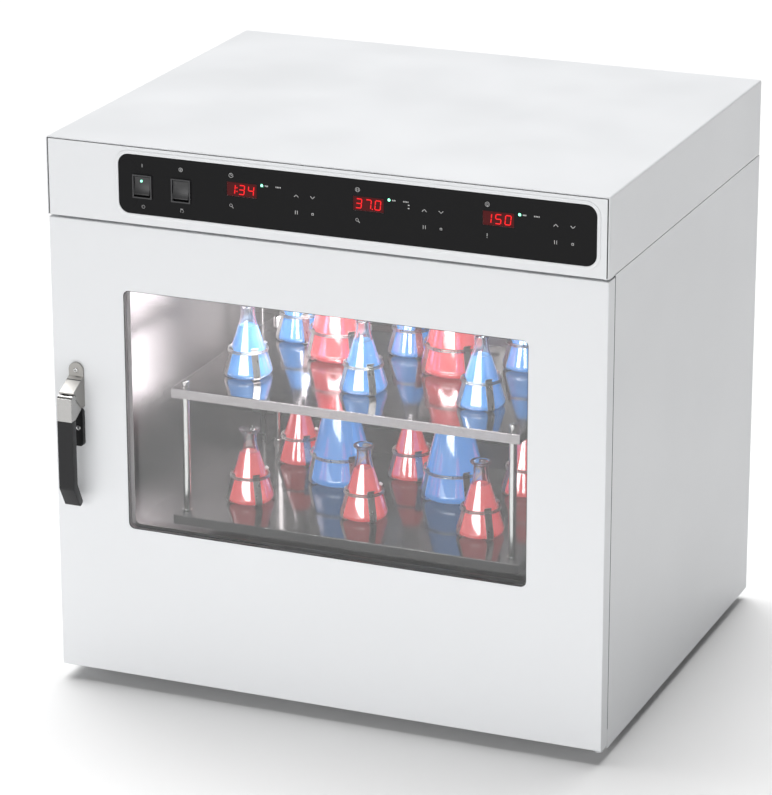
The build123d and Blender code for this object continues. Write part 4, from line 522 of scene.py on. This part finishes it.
def wall_profile(size, inset, top):
    """Outline of the flask's wall, moved inwards, from the bottom's middle to a height, and its corner radii."""
    lean = size.lean()
    shrink = inset / math.cos(lean)
    neck = size.neck - inset
    corner = size.cone(inset) - shrink
    bend = (size.cone(0) - shrink - neck) / math.tan(lean)
    return [(0, inset), (corner, inset), (neck, bend), (neck, top)], [size.heel - inset, NECK_BEND + inset]


def flask_model(size):
    """Closed glass wall: outside, rolled lip and inside."""
    top = size.height
    outer = rounded_profile(*wall_profile(size, 0.0, top - LIP_START), WALL_STEPS)
    lip = rounded_profile([(size.neck, top - LIP_START), (size.lip - 0.4 * MM, top - 2.2 * MM),
                           (size.lip, top - 0.8 * MM), (size.lip - 1.2 * MM, top),
                           (size.neck - 0.4 * MM, top - 0.8 * MM), (size.neck - GLASS_WALL, top - INNER_TOP)],
                          [3 * MM, 0.8 * MM, 0.5 * MM, 1.2 * MM], 4)
    inner = rounded_profile(*wall_profile(size, GLASS_WALL, top - INNER_TOP), WALL_STEPS)[::-1]
    bm = bmesh.new()
    add_lathe(bm, outer + lip + inner, (0, 0, 0))
    return bm


def medium_model(size):
    """Medium that fills a flask to its level, with a dished top."""
    inset = GLASS_WALL - MEDIUM_OVERLAP
    edge = size.cone(size.level) - inset / math.cos(size.lean())
    points, radii = wall_profile(size, inset, size.height)
    wall = rounded_profile([*points[:2], (edge, size.level)], radii[:1], WALL_STEPS)
    dish = [Vector((edge - inwards * MM, size.level - drop * MM, 0)) for inwards, drop in MENISCUS]
    middle = Vector((0, size.level - MENISCUS[-1][1] * MM, 0))
    bm = bmesh.new()
    add_lathe(bm, wall + dish + [middle], (0, 0, 0))
    return bm


def flask_set(name, size, spots, node):
    bm = bmesh.new()
    stamp(bm, flask_model(size), [(x, y, z + CLAMP_SHEET) for z in TIERS for x, y in spots])
    place_piece(name, bm, flask_glass, "carriage", [node])


def medium_set(name, material, node, filled):
    bm = bmesh.new()
    for size, spots, z in filled:
        stamp(bm, medium_model(size), [(x, y, z + CLAMP_SHEET) for x, y in spots])
    place_piece(name, bm, material, "carriage", [node])


flask_set("small_conical_flasks", SMALL, SMALL_SPOTS, "small_flasks")
flask_set("large_conical_flasks", LARGE, LARGE_SPOTS, "large_flasks")
medium_set("red_culture_medium", red_medium, "red_media",
           [(SMALL, SMALL_SPOTS, TIERS[0]), (LARGE, LARGE_SPOTS, TIERS[1])])
medium_set("blue_culture_medium", blue_medium, "blue_media",
           [(SMALL, SMALL_SPOTS, TIERS[1]), (LARGE, LARGE_SPOTS, TIERS[0])])


# ---------------------------------------------------------------- flask clamps
ARM_HALF = 4.5 * MM            # half an arm's width
ARM_SHEET = 0.8 * MM
ARM_PLAY = 0.4 * MM            # between the glass and an arm
WIRE = 0.9 * MM                # radius of the rings' wire
RING_DROPS = (0.0, 2.1)        # the two rings below the flask's ring height


def clamp_model(size):
    """Four bent spring arms on a round foot, with two wire rings round them."""
    foot = size.radius + ARM_PLAY
    waist = size.cone(size.ring) + ARM_PLAY
    heel, tip = CLAMP_SHEET + size.heel, CLAMP_SHEET + size.ring + 1 * MM
    line = rounded_profile([(size.radius * 0.45, 0.5 * MM), (foot + 0.5 * MM, 0.5 * MM), (foot + 0.5 * MM, heel),
                            (waist + 0.5 * MM, tip), (waist + 3.2 * MM, tip + 2.5 * MM)],
                           [4 * MM, 12 * MM, 2 * MM], 4)
    disc = size.radius * 0.5
    bm = bmesh.new()
    add_lathe(bm, [(0, 0), (disc, 0), (disc, CLAMP_SHEET), (0, CLAMP_SHEET)], (0, 0, 0), 24)
    for quarter in range(4):
        row = [bm.verts.new((point.x, -ARM_HALF, point.y)) for point in line]
        chain = [bm.edges.new(pair) for pair in zip(row, row[1:])]
        made = bmesh.ops.extrude_edge_only(bm, edges=chain)
        bmesh.ops.translate(bm, verts=new_verts(made), vec=(0, 2 * ARM_HALF, 0))
        strip = [item for item in made["geom"] if isinstance(item, bmesh.types.BMFace)]
        thick = bmesh.ops.solidify(bm, geom=strip, thickness=ARM_SHEET)["geom"]
        faces = [item for item in thick + strip if isinstance(item, bmesh.types.BMFace)]
        every = list(dict.fromkeys(vert for face in faces for vert in face.verts))
        bmesh.ops.transform(bm, verts=every, matrix=Matrix.Rotation(math.radians(45 + 90 * quarter), 4, "Z"))
    share = (size.ring - heel) / (tip - heel)
    outer = foot + 1 * MM + (waist - foot) * share
    for drop in RING_DROPS:
        add_ring(bm, (0, 0, size.ring - drop * MM), math.hypot(outer, ARM_HALF) + (0.9 + 0.25 * drop) * MM, WIRE)
    return bm


bm = bmesh.new()
for size, spots in ((SMALL, SMALL_SPOTS), (LARGE, LARGE_SPOTS)):
    stamp(bm, clamp_model(size), [(x, y, z) for z in TIERS for x, y in spots])
place_piece("spring_flask_clamps", bm, spring_steel, "carriage", ["flask_clamps"])


# ---------------------------------------------------------------- control panel
PRINT = 0.06 * MM              # thickness of printed marks
LINE = 0.6 * MM                # width of printed lines
DISPLAY_LEAD, DISPLAY_PITCH = 158.8, 159.0   # from the film's left end
ROCKER_LEAD, ROCKER_PITCH = 31.1, 49.9
DISPLAY_HALF, DISPLAY_SHOULDER = 16.2 / 2, 1.2
film_low, film_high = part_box("control_film")
film_middle = (film_low.z + film_high.z) / 2
FILM_Y = film_low.y
DISPLAYS = [film_low.x + (DISPLAY_LEAD + DISPLAY_PITCH * index) * MM for index in range(3)]
DISPLAY_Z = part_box("display_modules")[0].z + (DISPLAY_HALF + DISPLAY_SHOULDER) * MM
ROCKERS = [film_low.x + (ROCKER_LEAD + ROCKER_PITCH * index) * MM for index in range(2)]
ROCKER_Z = (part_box("rocker_bezels")[0].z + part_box("rocker_bezels")[1].z) / 2

SEGMENTS = {"a": ((-1, 1), (1, 1)), "b": ((1, 1), (1, 0)), "c": ((1, 0), (1, -1)), "d": ((-1, -1), (1, -1)),
            "e": ((-1, 0), (-1, -1)), "f": ((-1, 1), (-1, 0)), "g": ((-1, 0), (1, 0))}
DIGITS = {"0": "abcdef", "1": "bc", "3": "abcdg", "4": "bcfg", "5": "acdfg", "7": "abc"}
DIGIT_HALF_HEIGHT, DIGIT_HALF_WIDTH, DIGIT_PITCH = 10.8 * MM / 2, 6.6 * MM / 2, 11.8 * MM
DIGIT_LEAN = math.tan(math.radians(6))
SEGMENT_WIDTH, SEGMENT_GAP, DOT = 1.25 * MM, 0.75 * MM, 1.2 * MM

# Printed marks: strokes of x, z, x, z in millimetres about a mark's middle, or for the lamps a display's middle.
ARROW_UP = [(-2.6, -1.3, 0, 1.3), (2.6, -1.3, 0, 1.3)]
ARROW_DOWN = [(-2.6, 1.3, 0, -1.3), (2.6, 1.3, 0, -1.3)]
PAUSE = [(-1.3, -2.0, -1.3, 2.0), (1.3, -2.0, 1.3, 2.0)]
STOP = [(-1.1, -1.1, -1.1, 1.1), (1.1, -1.1, 1.1, 1.1), (-1.1, -1.1, 1.1, -1.1), (-1.1, 1.1, 1.1, 1.1)]
CLOCK_HANDS = [(0, 0, 0, 1.7), (0, 0, 1.3, 0)]
HEAT_BARS = [(-1.0, -1.2, -1.0, 1.2), (1.0, -1.2, 1.0, 1.2)]
STEM = [(0, -1.8, 0, -3.0)]
LENS_GRIP = [(0.8, -0.8, 2.6, -2.6)]
ALERT = [(0, 2.2, 0, -1.0), (0, -2.8, 0, -2.6)]
LAMP_TICKS = [(left, -0.5, left, 0.5) for left in (30.0, 31.6, 33.0, 43.6, 45.4, 47.2, 49.0)]
LAMP_DASHES = [(49.2, -drop, 50.4, -drop) for drop in (3.6, 7.4)]


def add_marks(bm, x, z, strokes, width=LINE):
    """Strokes of a mark about its middle."""
    for x1, z1, x2, z2 in strokes:
        add_stroke(bm, (x + x1 * MM, z + z1 * MM), (x + x2 * MM, z + z2 * MM), width)


def add_digit(bm, figure, x, z):
    """Leaning seven-segment figure."""
    for segment in DIGITS[figure]:
        ends = [Vector((x + u * DIGIT_HALF_WIDTH + v * DIGIT_HALF_HEIGHT * DIGIT_LEAN, z + v * DIGIT_HALF_HEIGHT))
                for u, v in SEGMENTS[segment]]
        along = (ends[1] - ends[0]).normalized() * SEGMENT_GAP
        add_stroke(bm, ends[0] + along, ends[1] - along, SEGMENT_WIDTH)


bm = bmesh.new()
for x, figures in zip(DISPLAYS, ("134", "370", "150")):
    for step, figure in enumerate(figures):
        add_digit(bm, figure, x + (step - 1) * DIGIT_PITCH, DISPLAY_Z)
add_marks(bm, DISPLAYS[0], DISPLAY_Z, [(-6.0, z - 0.4, -6.0, z + 0.4) for z in (2.2, -2.2)], DOT)
add_marks(bm, DISPLAYS[1], DISPLAY_Z, [(5.0, -5.6, 5.0, -5.0)], DOT)
place_piece("display_figures", bm, digit_red, "cabinet")

bm = bmesh.new()
for index, x in enumerate(DISPLAYS):
    icon, above, below = x - 13.4 * MM, film_middle + 23.6 * MM, film_middle - 13.0 * MM
    add_loop(bm, (icon, above), 2.6 * MM, LINE)
    add_marks(bm, icon, above, (CLOCK_HANDS, HEAT_BARS, STEM)[index])
    if index == 2:
        add_loop(bm, (icon, above), 1.2 * MM, LINE, steps=10)
        add_marks(bm, icon, below, ALERT, LINE * 1.3)
    else:
        add_loop(bm, (icon - 0.6 * MM, below + 0.6 * MM), 1.7 * MM, LINE, steps=12)
        add_marks(bm, icon, below, LENS_GRIP)
    lamp_z = film_middle + 15.4 * MM
    add_marks(bm, x, lamp_z, LAMP_TICKS, LINE * 1.6)
    if index == 1:
        add_marks(bm, x, lamp_z, LAMP_DASHES, LINE * 2.0)
    left_key, right_key = x + 69.0 * MM, x + 89.4 * MM
    upper_key, lower_key = film_middle + 7.8 * MM, film_middle - 12.0 * MM
    add_marks(bm, left_key, upper_key, ARROW_UP)
    add_marks(bm, right_key, upper_key, ARROW_DOWN)
    add_marks(bm, left_key, lower_key, PAUSE)
    add_marks(bm, right_key, lower_key, STOP)
mark_up, mark_low = film_middle + 23.5 * MM, film_middle - 26.5 * MM
add_marks(bm, ROCKERS[0], mark_up, [(0, -1.8, 0, 1.8)])
add_loop(bm, (ROCKERS[0] + 0.6 * MM, mark_low), 1.9 * MM, LINE)
add_loop(bm, (ROCKERS[1], mark_up), 2.3 * MM, LINE)
add_marks(bm, ROCKERS[1], mark_up, [(-1.0, z, 1.0, z) for z in (-1.0, 0.0, 1.0)], LINE * 0.7)
add_loop(bm, (ROCKERS[1] + 0.6 * MM, mark_low), 2.0 * MM, LINE, 300.0, 290.0)
add_marks(bm, ROCKERS[1], mark_low, [(-1.2, 2.4, 1.8, 2.4)])
place_piece("printed_symbols", bm, print_white, "cabinet")

CORNER_STEPS = 8


def rounded_rectangle(middle, width, height, radius, y):
    """Points round a rectangle with rounded corners that stands at a depth."""
    spots = []
    for turn, (sx, sz) in enumerate(((1, 1), (-1, 1), (-1, -1), (1, -1))):
        centre = Vector((middle[0] + sx * (width / 2 - radius), middle[1] + sz * (height / 2 - radius)))
        for step in range(CORNER_STEPS + 1):
            angle = math.radians(90 * (turn + step / CORNER_STEPS))
            spots.append(Vector((centre.x + radius * math.cos(angle), y, centre.y + radius * math.sin(angle))))
    return spots


def add_border(bm, middle, size, outer, inner, y, depth, bevel=0.0):
    """Frame round a rectangle, pushed back by a depth; outer and inner are (growth, corner radius)."""
    loops = []
    for growth, radius in (outer, inner):
        outline = rounded_rectangle(middle, size[0] + growth, size[1] + growth, radius, y)
        verts = [bm.verts.new(point) for point in outline]
        loops += [bm.edges.new((verts[i - 1], verts[i])) for i in range(len(verts))]
    faces = bmesh.ops.bridge_loops(bm, edges=loops)["faces"]
    grown = bmesh.ops.extrude_face_region(bm, geom=faces)
    bmesh.ops.translate(bm, verts=new_verts(grown), vec=(0, depth, 0))
    if bevel:
        front = [edge for face in faces for edge in face.edges if not edge.is_boundary
                 and sum(abs(f.normal.y) > 0.9 for f in edge.link_faces) == 1]
        round_edges(bm, list(dict.fromkeys(front)), bevel, 2)


bm = bmesh.new()
add_border(bm, ((film_low.x + film_high.x) / 2, film_middle), (film_high.x - film_low.x, film_high.z - film_low.z),
           (9 * MM, 18 * MM), (0.2 * MM, 13.6 * MM), FILM_Y - 0.5 * MM, 0.52 * MM, 0.3 * MM)
place_piece("film_surround", bm, hood_paint, "cabinet")


# ---------------------------------------------------------------- window edge
PANE_LAP = 12 * MM             # glass behind the door's skin on each side
LIGHT_STRIP_INSET, LIGHT_STRIP_WIDTH, LIGHT_STRIP_END = 9.2 * MM, 5.0 * MM, 13.5 * MM   # from the pane's left, lower and upper edge
pane_low, pane_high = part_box("window_panes")
bm = bmesh.new()
add_border(bm, ((pane_low.x + pane_high.x) / 2, (pane_low.z + pane_high.z) / 2),
           (pane_high.x - pane_low.x - 2 * PANE_LAP, pane_high.z - pane_low.z - 2 * PANE_LAP),
           (-0.1 * MM, 7.4 * MM), (-1.6 * MM, 6.7 * MM), pane_low.y - 0.5 * MM, 0.45 * MM)
place_piece("window_edge_seal", bm, seal_rubber, "door")

# painted light: a lighter strip on the window's left edge only, standing in for light falling on that side of the
# pane spacer
bm = bmesh.new()
light_strip_x, light_strip_y = pane_low.x + LIGHT_STRIP_INSET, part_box("window_spacer")[1].y
add_block(bm, (light_strip_x, light_strip_y - 0.4 * MM, pane_low.z + LIGHT_STRIP_END),
          (light_strip_x + LIGHT_STRIP_WIDTH, light_strip_y - 0.1 * MM, pane_high.z - LIGHT_STRIP_END), 0.1 * MM, 1)
place_piece("left_jamb_painted_light", bm, painted_light_silver, "door")


# ---------------------------------------------------------------- thin trim and painted shade
PLATE_SHEET, STRIP_SHEET, TRIM_EDGE = 0.7 * MM, 0.8 * MM, 0.3 * MM
PLATE_END, STRIP_END = 196 * MM, 440 * MM    # from the liner's front edge
STRIP_START = 236 * MM         # beside the deck under the platforms
# sizes of the dark strip painted as shade in the seam round the hood's front panel
SEAM_SHADE_WIDTH, SEAM_SHADE_DEPTH, SEAM_SHADE_PROUD = 0.5 * MM, 0.4 * MM, 0.05 * MM
liner_low, liner_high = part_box("chamber_liner")
fascia_low, fascia_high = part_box("hood_fascia")
cheek_low, cheek_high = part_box("right_side_panel")
walls, floor_shades, seam_shade, side_gap_shade = bmesh.new(), bmesh.new(), bmesh.new(), bmesh.new()
for side in (-1, 1):
    wall = liner_high.x - 1.0 * MM
    add_side_block(walls, side, wall - PLATE_SHEET, wall, (liner_low.y + 2 * MM, liner_low.z + 3 * MM),
                   (liner_low.y + PLATE_END, liner_high.z - 3 * MM), TRIM_EDGE)
    # painted shade: dark strips on the chamber floor under the platforms
    floor_z = liner_low.z + 1 * MM
    add_side_block(floor_shades, side, STRIP_START, liner_high.x - 2.2 * MM, (liner_low.y + 2 * MM, floor_z),
                   (liner_low.y + STRIP_END, floor_z + STRIP_SHEET), TRIM_EDGE)
    # painted shade: a dark strip in the seam beside the hood's front panel
    edge = fascia_high.x + 0.1 * MM
    add_side_block(seam_shade, side, edge - 2 * SEAM_SHADE_WIDTH, edge, (fascia_low.y - SEAM_SHADE_PROUD, fascia_low.z + 1 * MM),
                   (fascia_low.y + SEAM_SHADE_DEPTH, fascia_high.z))
    # painted shade: a dark strip on each side panel's front edge, in the gap beside the door
    add_side_block(side_gap_shade, side, cheek_high.x - 8 * MM, cheek_high.x - 0.1 * MM,
                   (cheek_low.y - 0.2 * MM, cheek_low.z + 24 * MM), (cheek_low.y - 0.02 * MM, cheek_high.z - 2 * MM))
# painted shade: the same dark strip along the top of the hood's front panel
add_block(seam_shade, (fascia_low.x, fascia_low.y - SEAM_SHADE_PROUD, fascia_high.z - SEAM_SHADE_WIDTH),
          (fascia_high.x, fascia_low.y + SEAM_SHADE_DEPTH, fascia_high.z))
place_piece("chamber_wall_plates", walls, wall_steel_pink_painted_reflection, "cabinet")
place_piece("chamber_floor_painted_shade", floor_shades, floor_painted_shade_steel, "cabinet")
place_piece("fascia_seam_painted_shade", seam_shade, painted_shade_dark, "cabinet")
place_piece("side_panel_gap_painted_shade", side_gap_shade, painted_shade_dark, "cabinet")


# ---------------------------------------------------------------- rocker switches
KEY_HALF_WIDTH, KEY_HALF_HEIGHT = 10.3 * MM, 10.7
KEY_FACE, KEY_BACK, KEY_DISH = -11.0, -6.6, 1.9   # in front of the pin (negative), and how deep the face is dished
PIN_DEPTH, KEY_TILT = 8 * MM, math.radians(-8)
KEY_ROUND = 0.7 * MM
LAMP_RADIUS, LAMP_HEIGHT, LAMP_ROUND = 1.5 * MM, 0.7 * MM, 0.6 * MM
LAMP_SPOT = (-0.8 * MM, -9.8 * MM, 5.6 * MM)    # on the key's face, about its pin
KEY_SIDE = [(KEY_FACE + KEY_DISH * (1 - (z / KEY_HALF_HEIGHT) ** 2), z)
            for z in (-10.7, -8.0, -5.4, -2.7, 0.0, 2.7, 5.4, 8.0, 10.7)]
KEY_SIDE += [(KEY_BACK, KEY_HALF_HEIGHT), (KEY_BACK, -KEY_HALF_HEIGHT)]


def key_tilt(x):
    """Puts a key that is modelled about its pin in its frame, with its upper half pressed."""
    return Matrix.Translation((x, FILM_Y + PIN_DEPTH, ROCKER_Z)) @ Matrix.Rotation(KEY_TILT, 4, "X")


def make_rocker(name, node, body, x):
    bm = bmesh.new()
    add_prism(bm, [(-KEY_HALF_WIDTH, y * MM, z * MM) for y, z in KEY_SIDE], (2 * KEY_HALF_WIDTH, 0, 0), KEY_ROUND)
    add_block(bm, (-8.3 * MM, -7 * MM, -3.4 * MM), (8.3 * MM, 1.6 * MM, 3.4 * MM), 0.5 * MM, 2)
    bmesh.ops.transform(bm, verts=bm.verts, matrix=key_tilt(x))
    place_piece(name, bm, switch_black, body, [node])


def dome_profile(radius, height, rounding, steps):
    """Low dome for lamps and screw heads."""
    return rounded_profile([(0, 0), (radius, 0), (radius, height), (0, height)], [0, rounding], steps)


make_rocker("power_rocker_key", "power_rocker", "power_switch", ROCKERS[0])
bm = bmesh.new()
add_lathe(bm, dome_profile(LAMP_RADIUS, LAMP_HEIGHT, LAMP_ROUND, 4), (0, 0, 0), 20, (0, -1, 0))
bmesh.ops.transform(bm, verts=bm.verts, matrix=key_tilt(ROCKERS[0]) @ Matrix.Translation(LAMP_SPOT))
place_piece("power_switch_lamp", bm, lamp_lit, "power_switch")
make_rocker("light_rocker_key", "light_rocker", "light_switch", ROCKERS[1])


# ---------------------------------------------------------------- latch
lug_low, lug_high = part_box("latch_bracket")


def latch_spot(reach, height, side=0.0):
    """Point by its reach from the door, height over the lug's top and side of the latch's middle."""
    return Vector(((lug_low.x + lug_high.x) / 2 + side * MM, lug_high.y - reach * MM, lug_high.z + height * MM))


def latch_outline(points, radii, side):
    """Closed outline of (reach, height) with its corners rounded."""
    path = rounded_profile([points[-1], *points, points[0]], radii, 5)[1:-1]
    return [latch_spot(point.x, point.y, side) for point in path]


GRIP_SIDE = [(36, -65), (36, -151), (21, -177.5), (13, -173.5), (26, -147), (26, -65)]   # (reach, height)
GRIP_RADII = [1.0, 9.0, 2.5, 2.5, 9.0, 1.0]
GRIP_HALF, GRIP_ROUND = 10.0, 2.2
bm = bmesh.new()
add_prism(bm, latch_outline(GRIP_SIDE, GRIP_RADII, -GRIP_HALF), (2 * GRIP_HALF * MM, 0, 0), GRIP_ROUND * MM, 4)
place_piece("pull_grip", bm, grip_black, "latch", ["latch_grip"])

SLOPE_START, SLOPE = Vector((3.0, -17.0)), Vector((27.0, -13.0))   # the bracket's slope as (reach, height)
SLOPE_OUT = Vector((13.0, 27.0)).normalized()
GROOVE_START, GROOVE_END = 0.19, 0.25   # shares of the slope
GROOVE_SUNK, GROOVE_PROUD = SLOPE_OUT * 0.4, SLOPE_OUT * 0.05
GROOVE_HALF = 9.3
near, far = SLOPE_START + SLOPE * GROOVE_START, SLOPE_START + SLOPE * GROOVE_END
corners = (near - GROOVE_SUNK, near + GROOVE_PROUD, far + GROOVE_PROUD, far - GROOVE_SUNK)
# painted shade: a dark block along the groove where the lug meets the sloping head
bm = bmesh.new()
add_prism(bm, [latch_spot(*corner, -GROOVE_HALF) for corner in corners], (2 * GROOVE_HALF * MM, 0, 0))
place_piece("latch_hinge_painted_shade", bm, painted_shade_dark, "door")


# ---------------------------------------------------------------- screws
HEAD_HEIGHT = 1.6 * MM
COVER_SCREW, LATCH_SCREW = 4 * MM, 3 * MM    # radii of the heads
SCREW_INSET, SCREW_END = 9 * MM, 40 * MM     # from the rear panel's sides and its lower and upper end
HOOD_SCREW_RISE = 19 * MM      # over the side panels' top
CROSS_HALF, CROSS_WIDTH = 0.5, 0.11          # shares of the head's radius
CROSS_SUNK, CROSS_PROUD = 0.1 * MM, 0.03 * MM


def add_screw(heads, cross_shades, centre, axis, radius):
    """Pan head, with a dark cross on its top in a mesh of its own, painted as the shade in its cross recess."""
    add_lathe(heads, dome_profile(radius, HEAD_HEIGHT, HEAD_HEIGHT * 0.75, 5), centre, 28, axis)
    out = Vector(axis)
    top = Vector(centre) + out * HEAD_HEIGHT
    wide, high = Vector((1, 0, 0)), Vector((0, 0, 1))
    # painted shade: a dark cross stands in for the shade in the cross recess
    for along, across in ((wide, high), (high, wide)):
        reach = along * radius * CROSS_HALF + across * radius * CROSS_WIDTH
        ends = list(zip(top - reach - out * CROSS_SUNK, top + reach + out * CROSS_PROUD))
        add_block(cross_shades, [min(pair) for pair in ends], [max(pair) for pair in ends])


def screw_set(name, body, spots, axis, radius, node):
    heads, cross_shades = bmesh.new(), bmesh.new()
    for spot in spots:
        add_screw(heads, cross_shades, spot, axis, radius)
    place_piece(name + "_heads", heads, screw_steel, body, [node])
    place_piece(name + "_crosses", cross_shades, painted_shade_dark, body)


rear_low, rear_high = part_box("rear_panel")
side_top = cheek_high.z
low_z, high_z = rear_low.z + SCREW_END, side_top - SCREW_END
rear_spots = [(side * (rear_high.x - SCREW_INSET), rear_high.y, z)
              for side in (-1, 1) for z in (low_z, (low_z + high_z) / 2, high_z)]
rear_spots += [(step * rear_high.x * 2 / 3, rear_high.y, side_top + HOOD_SCREW_RISE) for step in (-1, 0, 1)]
latch_spots = [latch_spot(3.0, -9.5), latch_spot(6.0, -81.5, 3.0)]
screw_set("cover_screw", "cabinet", rear_spots, (0, 1, 0), COVER_SCREW, "cover_screws")
screw_set("latch_screw", "door", latch_spots, (0, -1, 0), LATCH_SCREW, "latch_screws")


# ---------------------------------------------------------------- stage, light and camera
floor_mesh = bpy.data.meshes.new("studio_floor")
bm = bmesh.new()
bmesh.ops.create_grid(bm, x_segments=1, y_segments=1, size=20.0)
bm.to_mesh(floor_mesh)
bm.free()
floor = bpy.data.objects.new("studio_floor", floor_mesh)
bpy.context.scene.collection.objects.link(floor)
floor_mesh.materials.append(shader_material("pale_floor", (0.78, 0.78, 0.78), 0.8, Specular_IOR_Level=0.1)[0])

WORLD_LIGHT = 0.13
world = bpy.data.worlds.new("pale_studio")
bpy.context.scene.world = world
world.use_nodes = True
world.node_tree.nodes["Background"].inputs["Color"].default_value = (1.0, 1.0, 1.0, 1.0)
world.node_tree.nodes["Background"].inputs["Strength"].default_value = WORLD_LIGHT


def hang_light(name, kind, power, place, direction):
    """Light at a place that shines along a direction."""
    lamp = bpy.data.lights.new(name, kind)
    lamp.energy = power
    holder = bpy.data.objects.new(name, lamp)
    bpy.context.scene.collection.objects.link(holder)
    holder.location = place
    holder.rotation_mode = "QUATERNION"
    holder.rotation_quaternion = direction.to_track_quat("-Z", "Y")
    return holder


def towards(azimuth, elevation):
    """Direction to a spot round the part; azimuth counts from the front towards the right, in radians."""
    return Vector((math.sin(azimuth) * math.cos(elevation), -math.cos(azimuth) * math.cos(elevation),
                   math.sin(elevation)))


def area_light(name, place, target, width, height, power, colour=(1.0, 1.0, 1.0)):
    """Rectangular light at a place that faces a target."""
    holder = hang_light(name, "AREA", power, place, Vector(target) - Vector(place))
    holder.data.shape = "RECTANGLE"
    holder.data.size, holder.data.size_y = width, height
    holder.data.color = colour
    return holder


SUN_AZIMUTH, SUN_ELEVATION, SUN_SPREAD = math.radians(216.0), math.radians(70.0), math.radians(60.0)
sun = hang_light("overhead_softbox", "SUN", 4.15, (0, 0, 0), -towards(SUN_AZIMUTH, SUN_ELEVATION))
sun.data.angle = SUN_SPREAD
area_light("front_softbox", (-0.2, -4.6, 1.25), (0.0, -0.27, 0.35), 4.3, 1.1, 92.0)
low_fills = [area_light("low_front_fill", (0.0, -0.73, 0.012), (0.0, -0.27, 0.15), 1.2, 0.02, 0.85),
             area_light("low_right_fill", (1.35, 0.05, 0.012), (0.35, 0.05, 0.2), 1.0, 0.02, 0.7)]
for fill in low_fills:
    fill.visible_camera = fill.visible_glossy = fill.visible_transmission = False
area_light("chamber_lamp_glow", (0.0, -0.212, 0.543), (0.0, 0.05, 0.2), 0.36, 0.02, 0.5)
area_light("left_wall_wash", (-0.06, -0.02, 0.53), (-0.3, -0.02, 0.43), 0.36, 0.04, 1.2, (1.0, 0.93, 0.95))
wall_card = area_light("left_wall_card", (-0.19, 0.06, 0.348), (-0.3, 0.06, 0.348), 0.18, 0.194, 0.63,
                       (1.0, 0.95, 0.97))
wall_card.visible_camera = wall_card.visible_transmission = wall_card.visible_diffuse = False

AZIMUTH, ELEVATION, ROLL = math.radians(22.50), math.radians(19.105), math.radians(-0.131)
CAMERA_PLACE = (1.6806, -4.1297, 1.8704)
SENSOR, FOCAL_LENGTH = 36.0, 172.46
back = towards(AZIMUTH, ELEVATION)
level = Vector((math.cos(AZIMUTH), math.sin(AZIMUTH), 0.0))
upright = back.cross(level)
right = level * math.cos(ROLL) + upright * math.sin(ROLL)
up = upright * math.cos(ROLL) - level * math.sin(ROLL)
lens = bpy.data.cameras.new("photo_camera")
lens.sensor_width, lens.lens = SENSOR, FOCAL_LENGTH
lens.clip_start, lens.clip_end = 0.05, 100.0
camera = bpy.data.objects.new("photo_camera", lens)
bpy.context.scene.collection.objects.link(camera)
camera.rotation_mode = "QUATERNION"
camera.location = CAMERA_PLACE
camera.rotation_quaternion = Matrix((right, up, back)).transposed().to_quaternion()
bpy.context.scene.camera = camera
bpy.context.scene.view_settings.view_transform = "Standard"
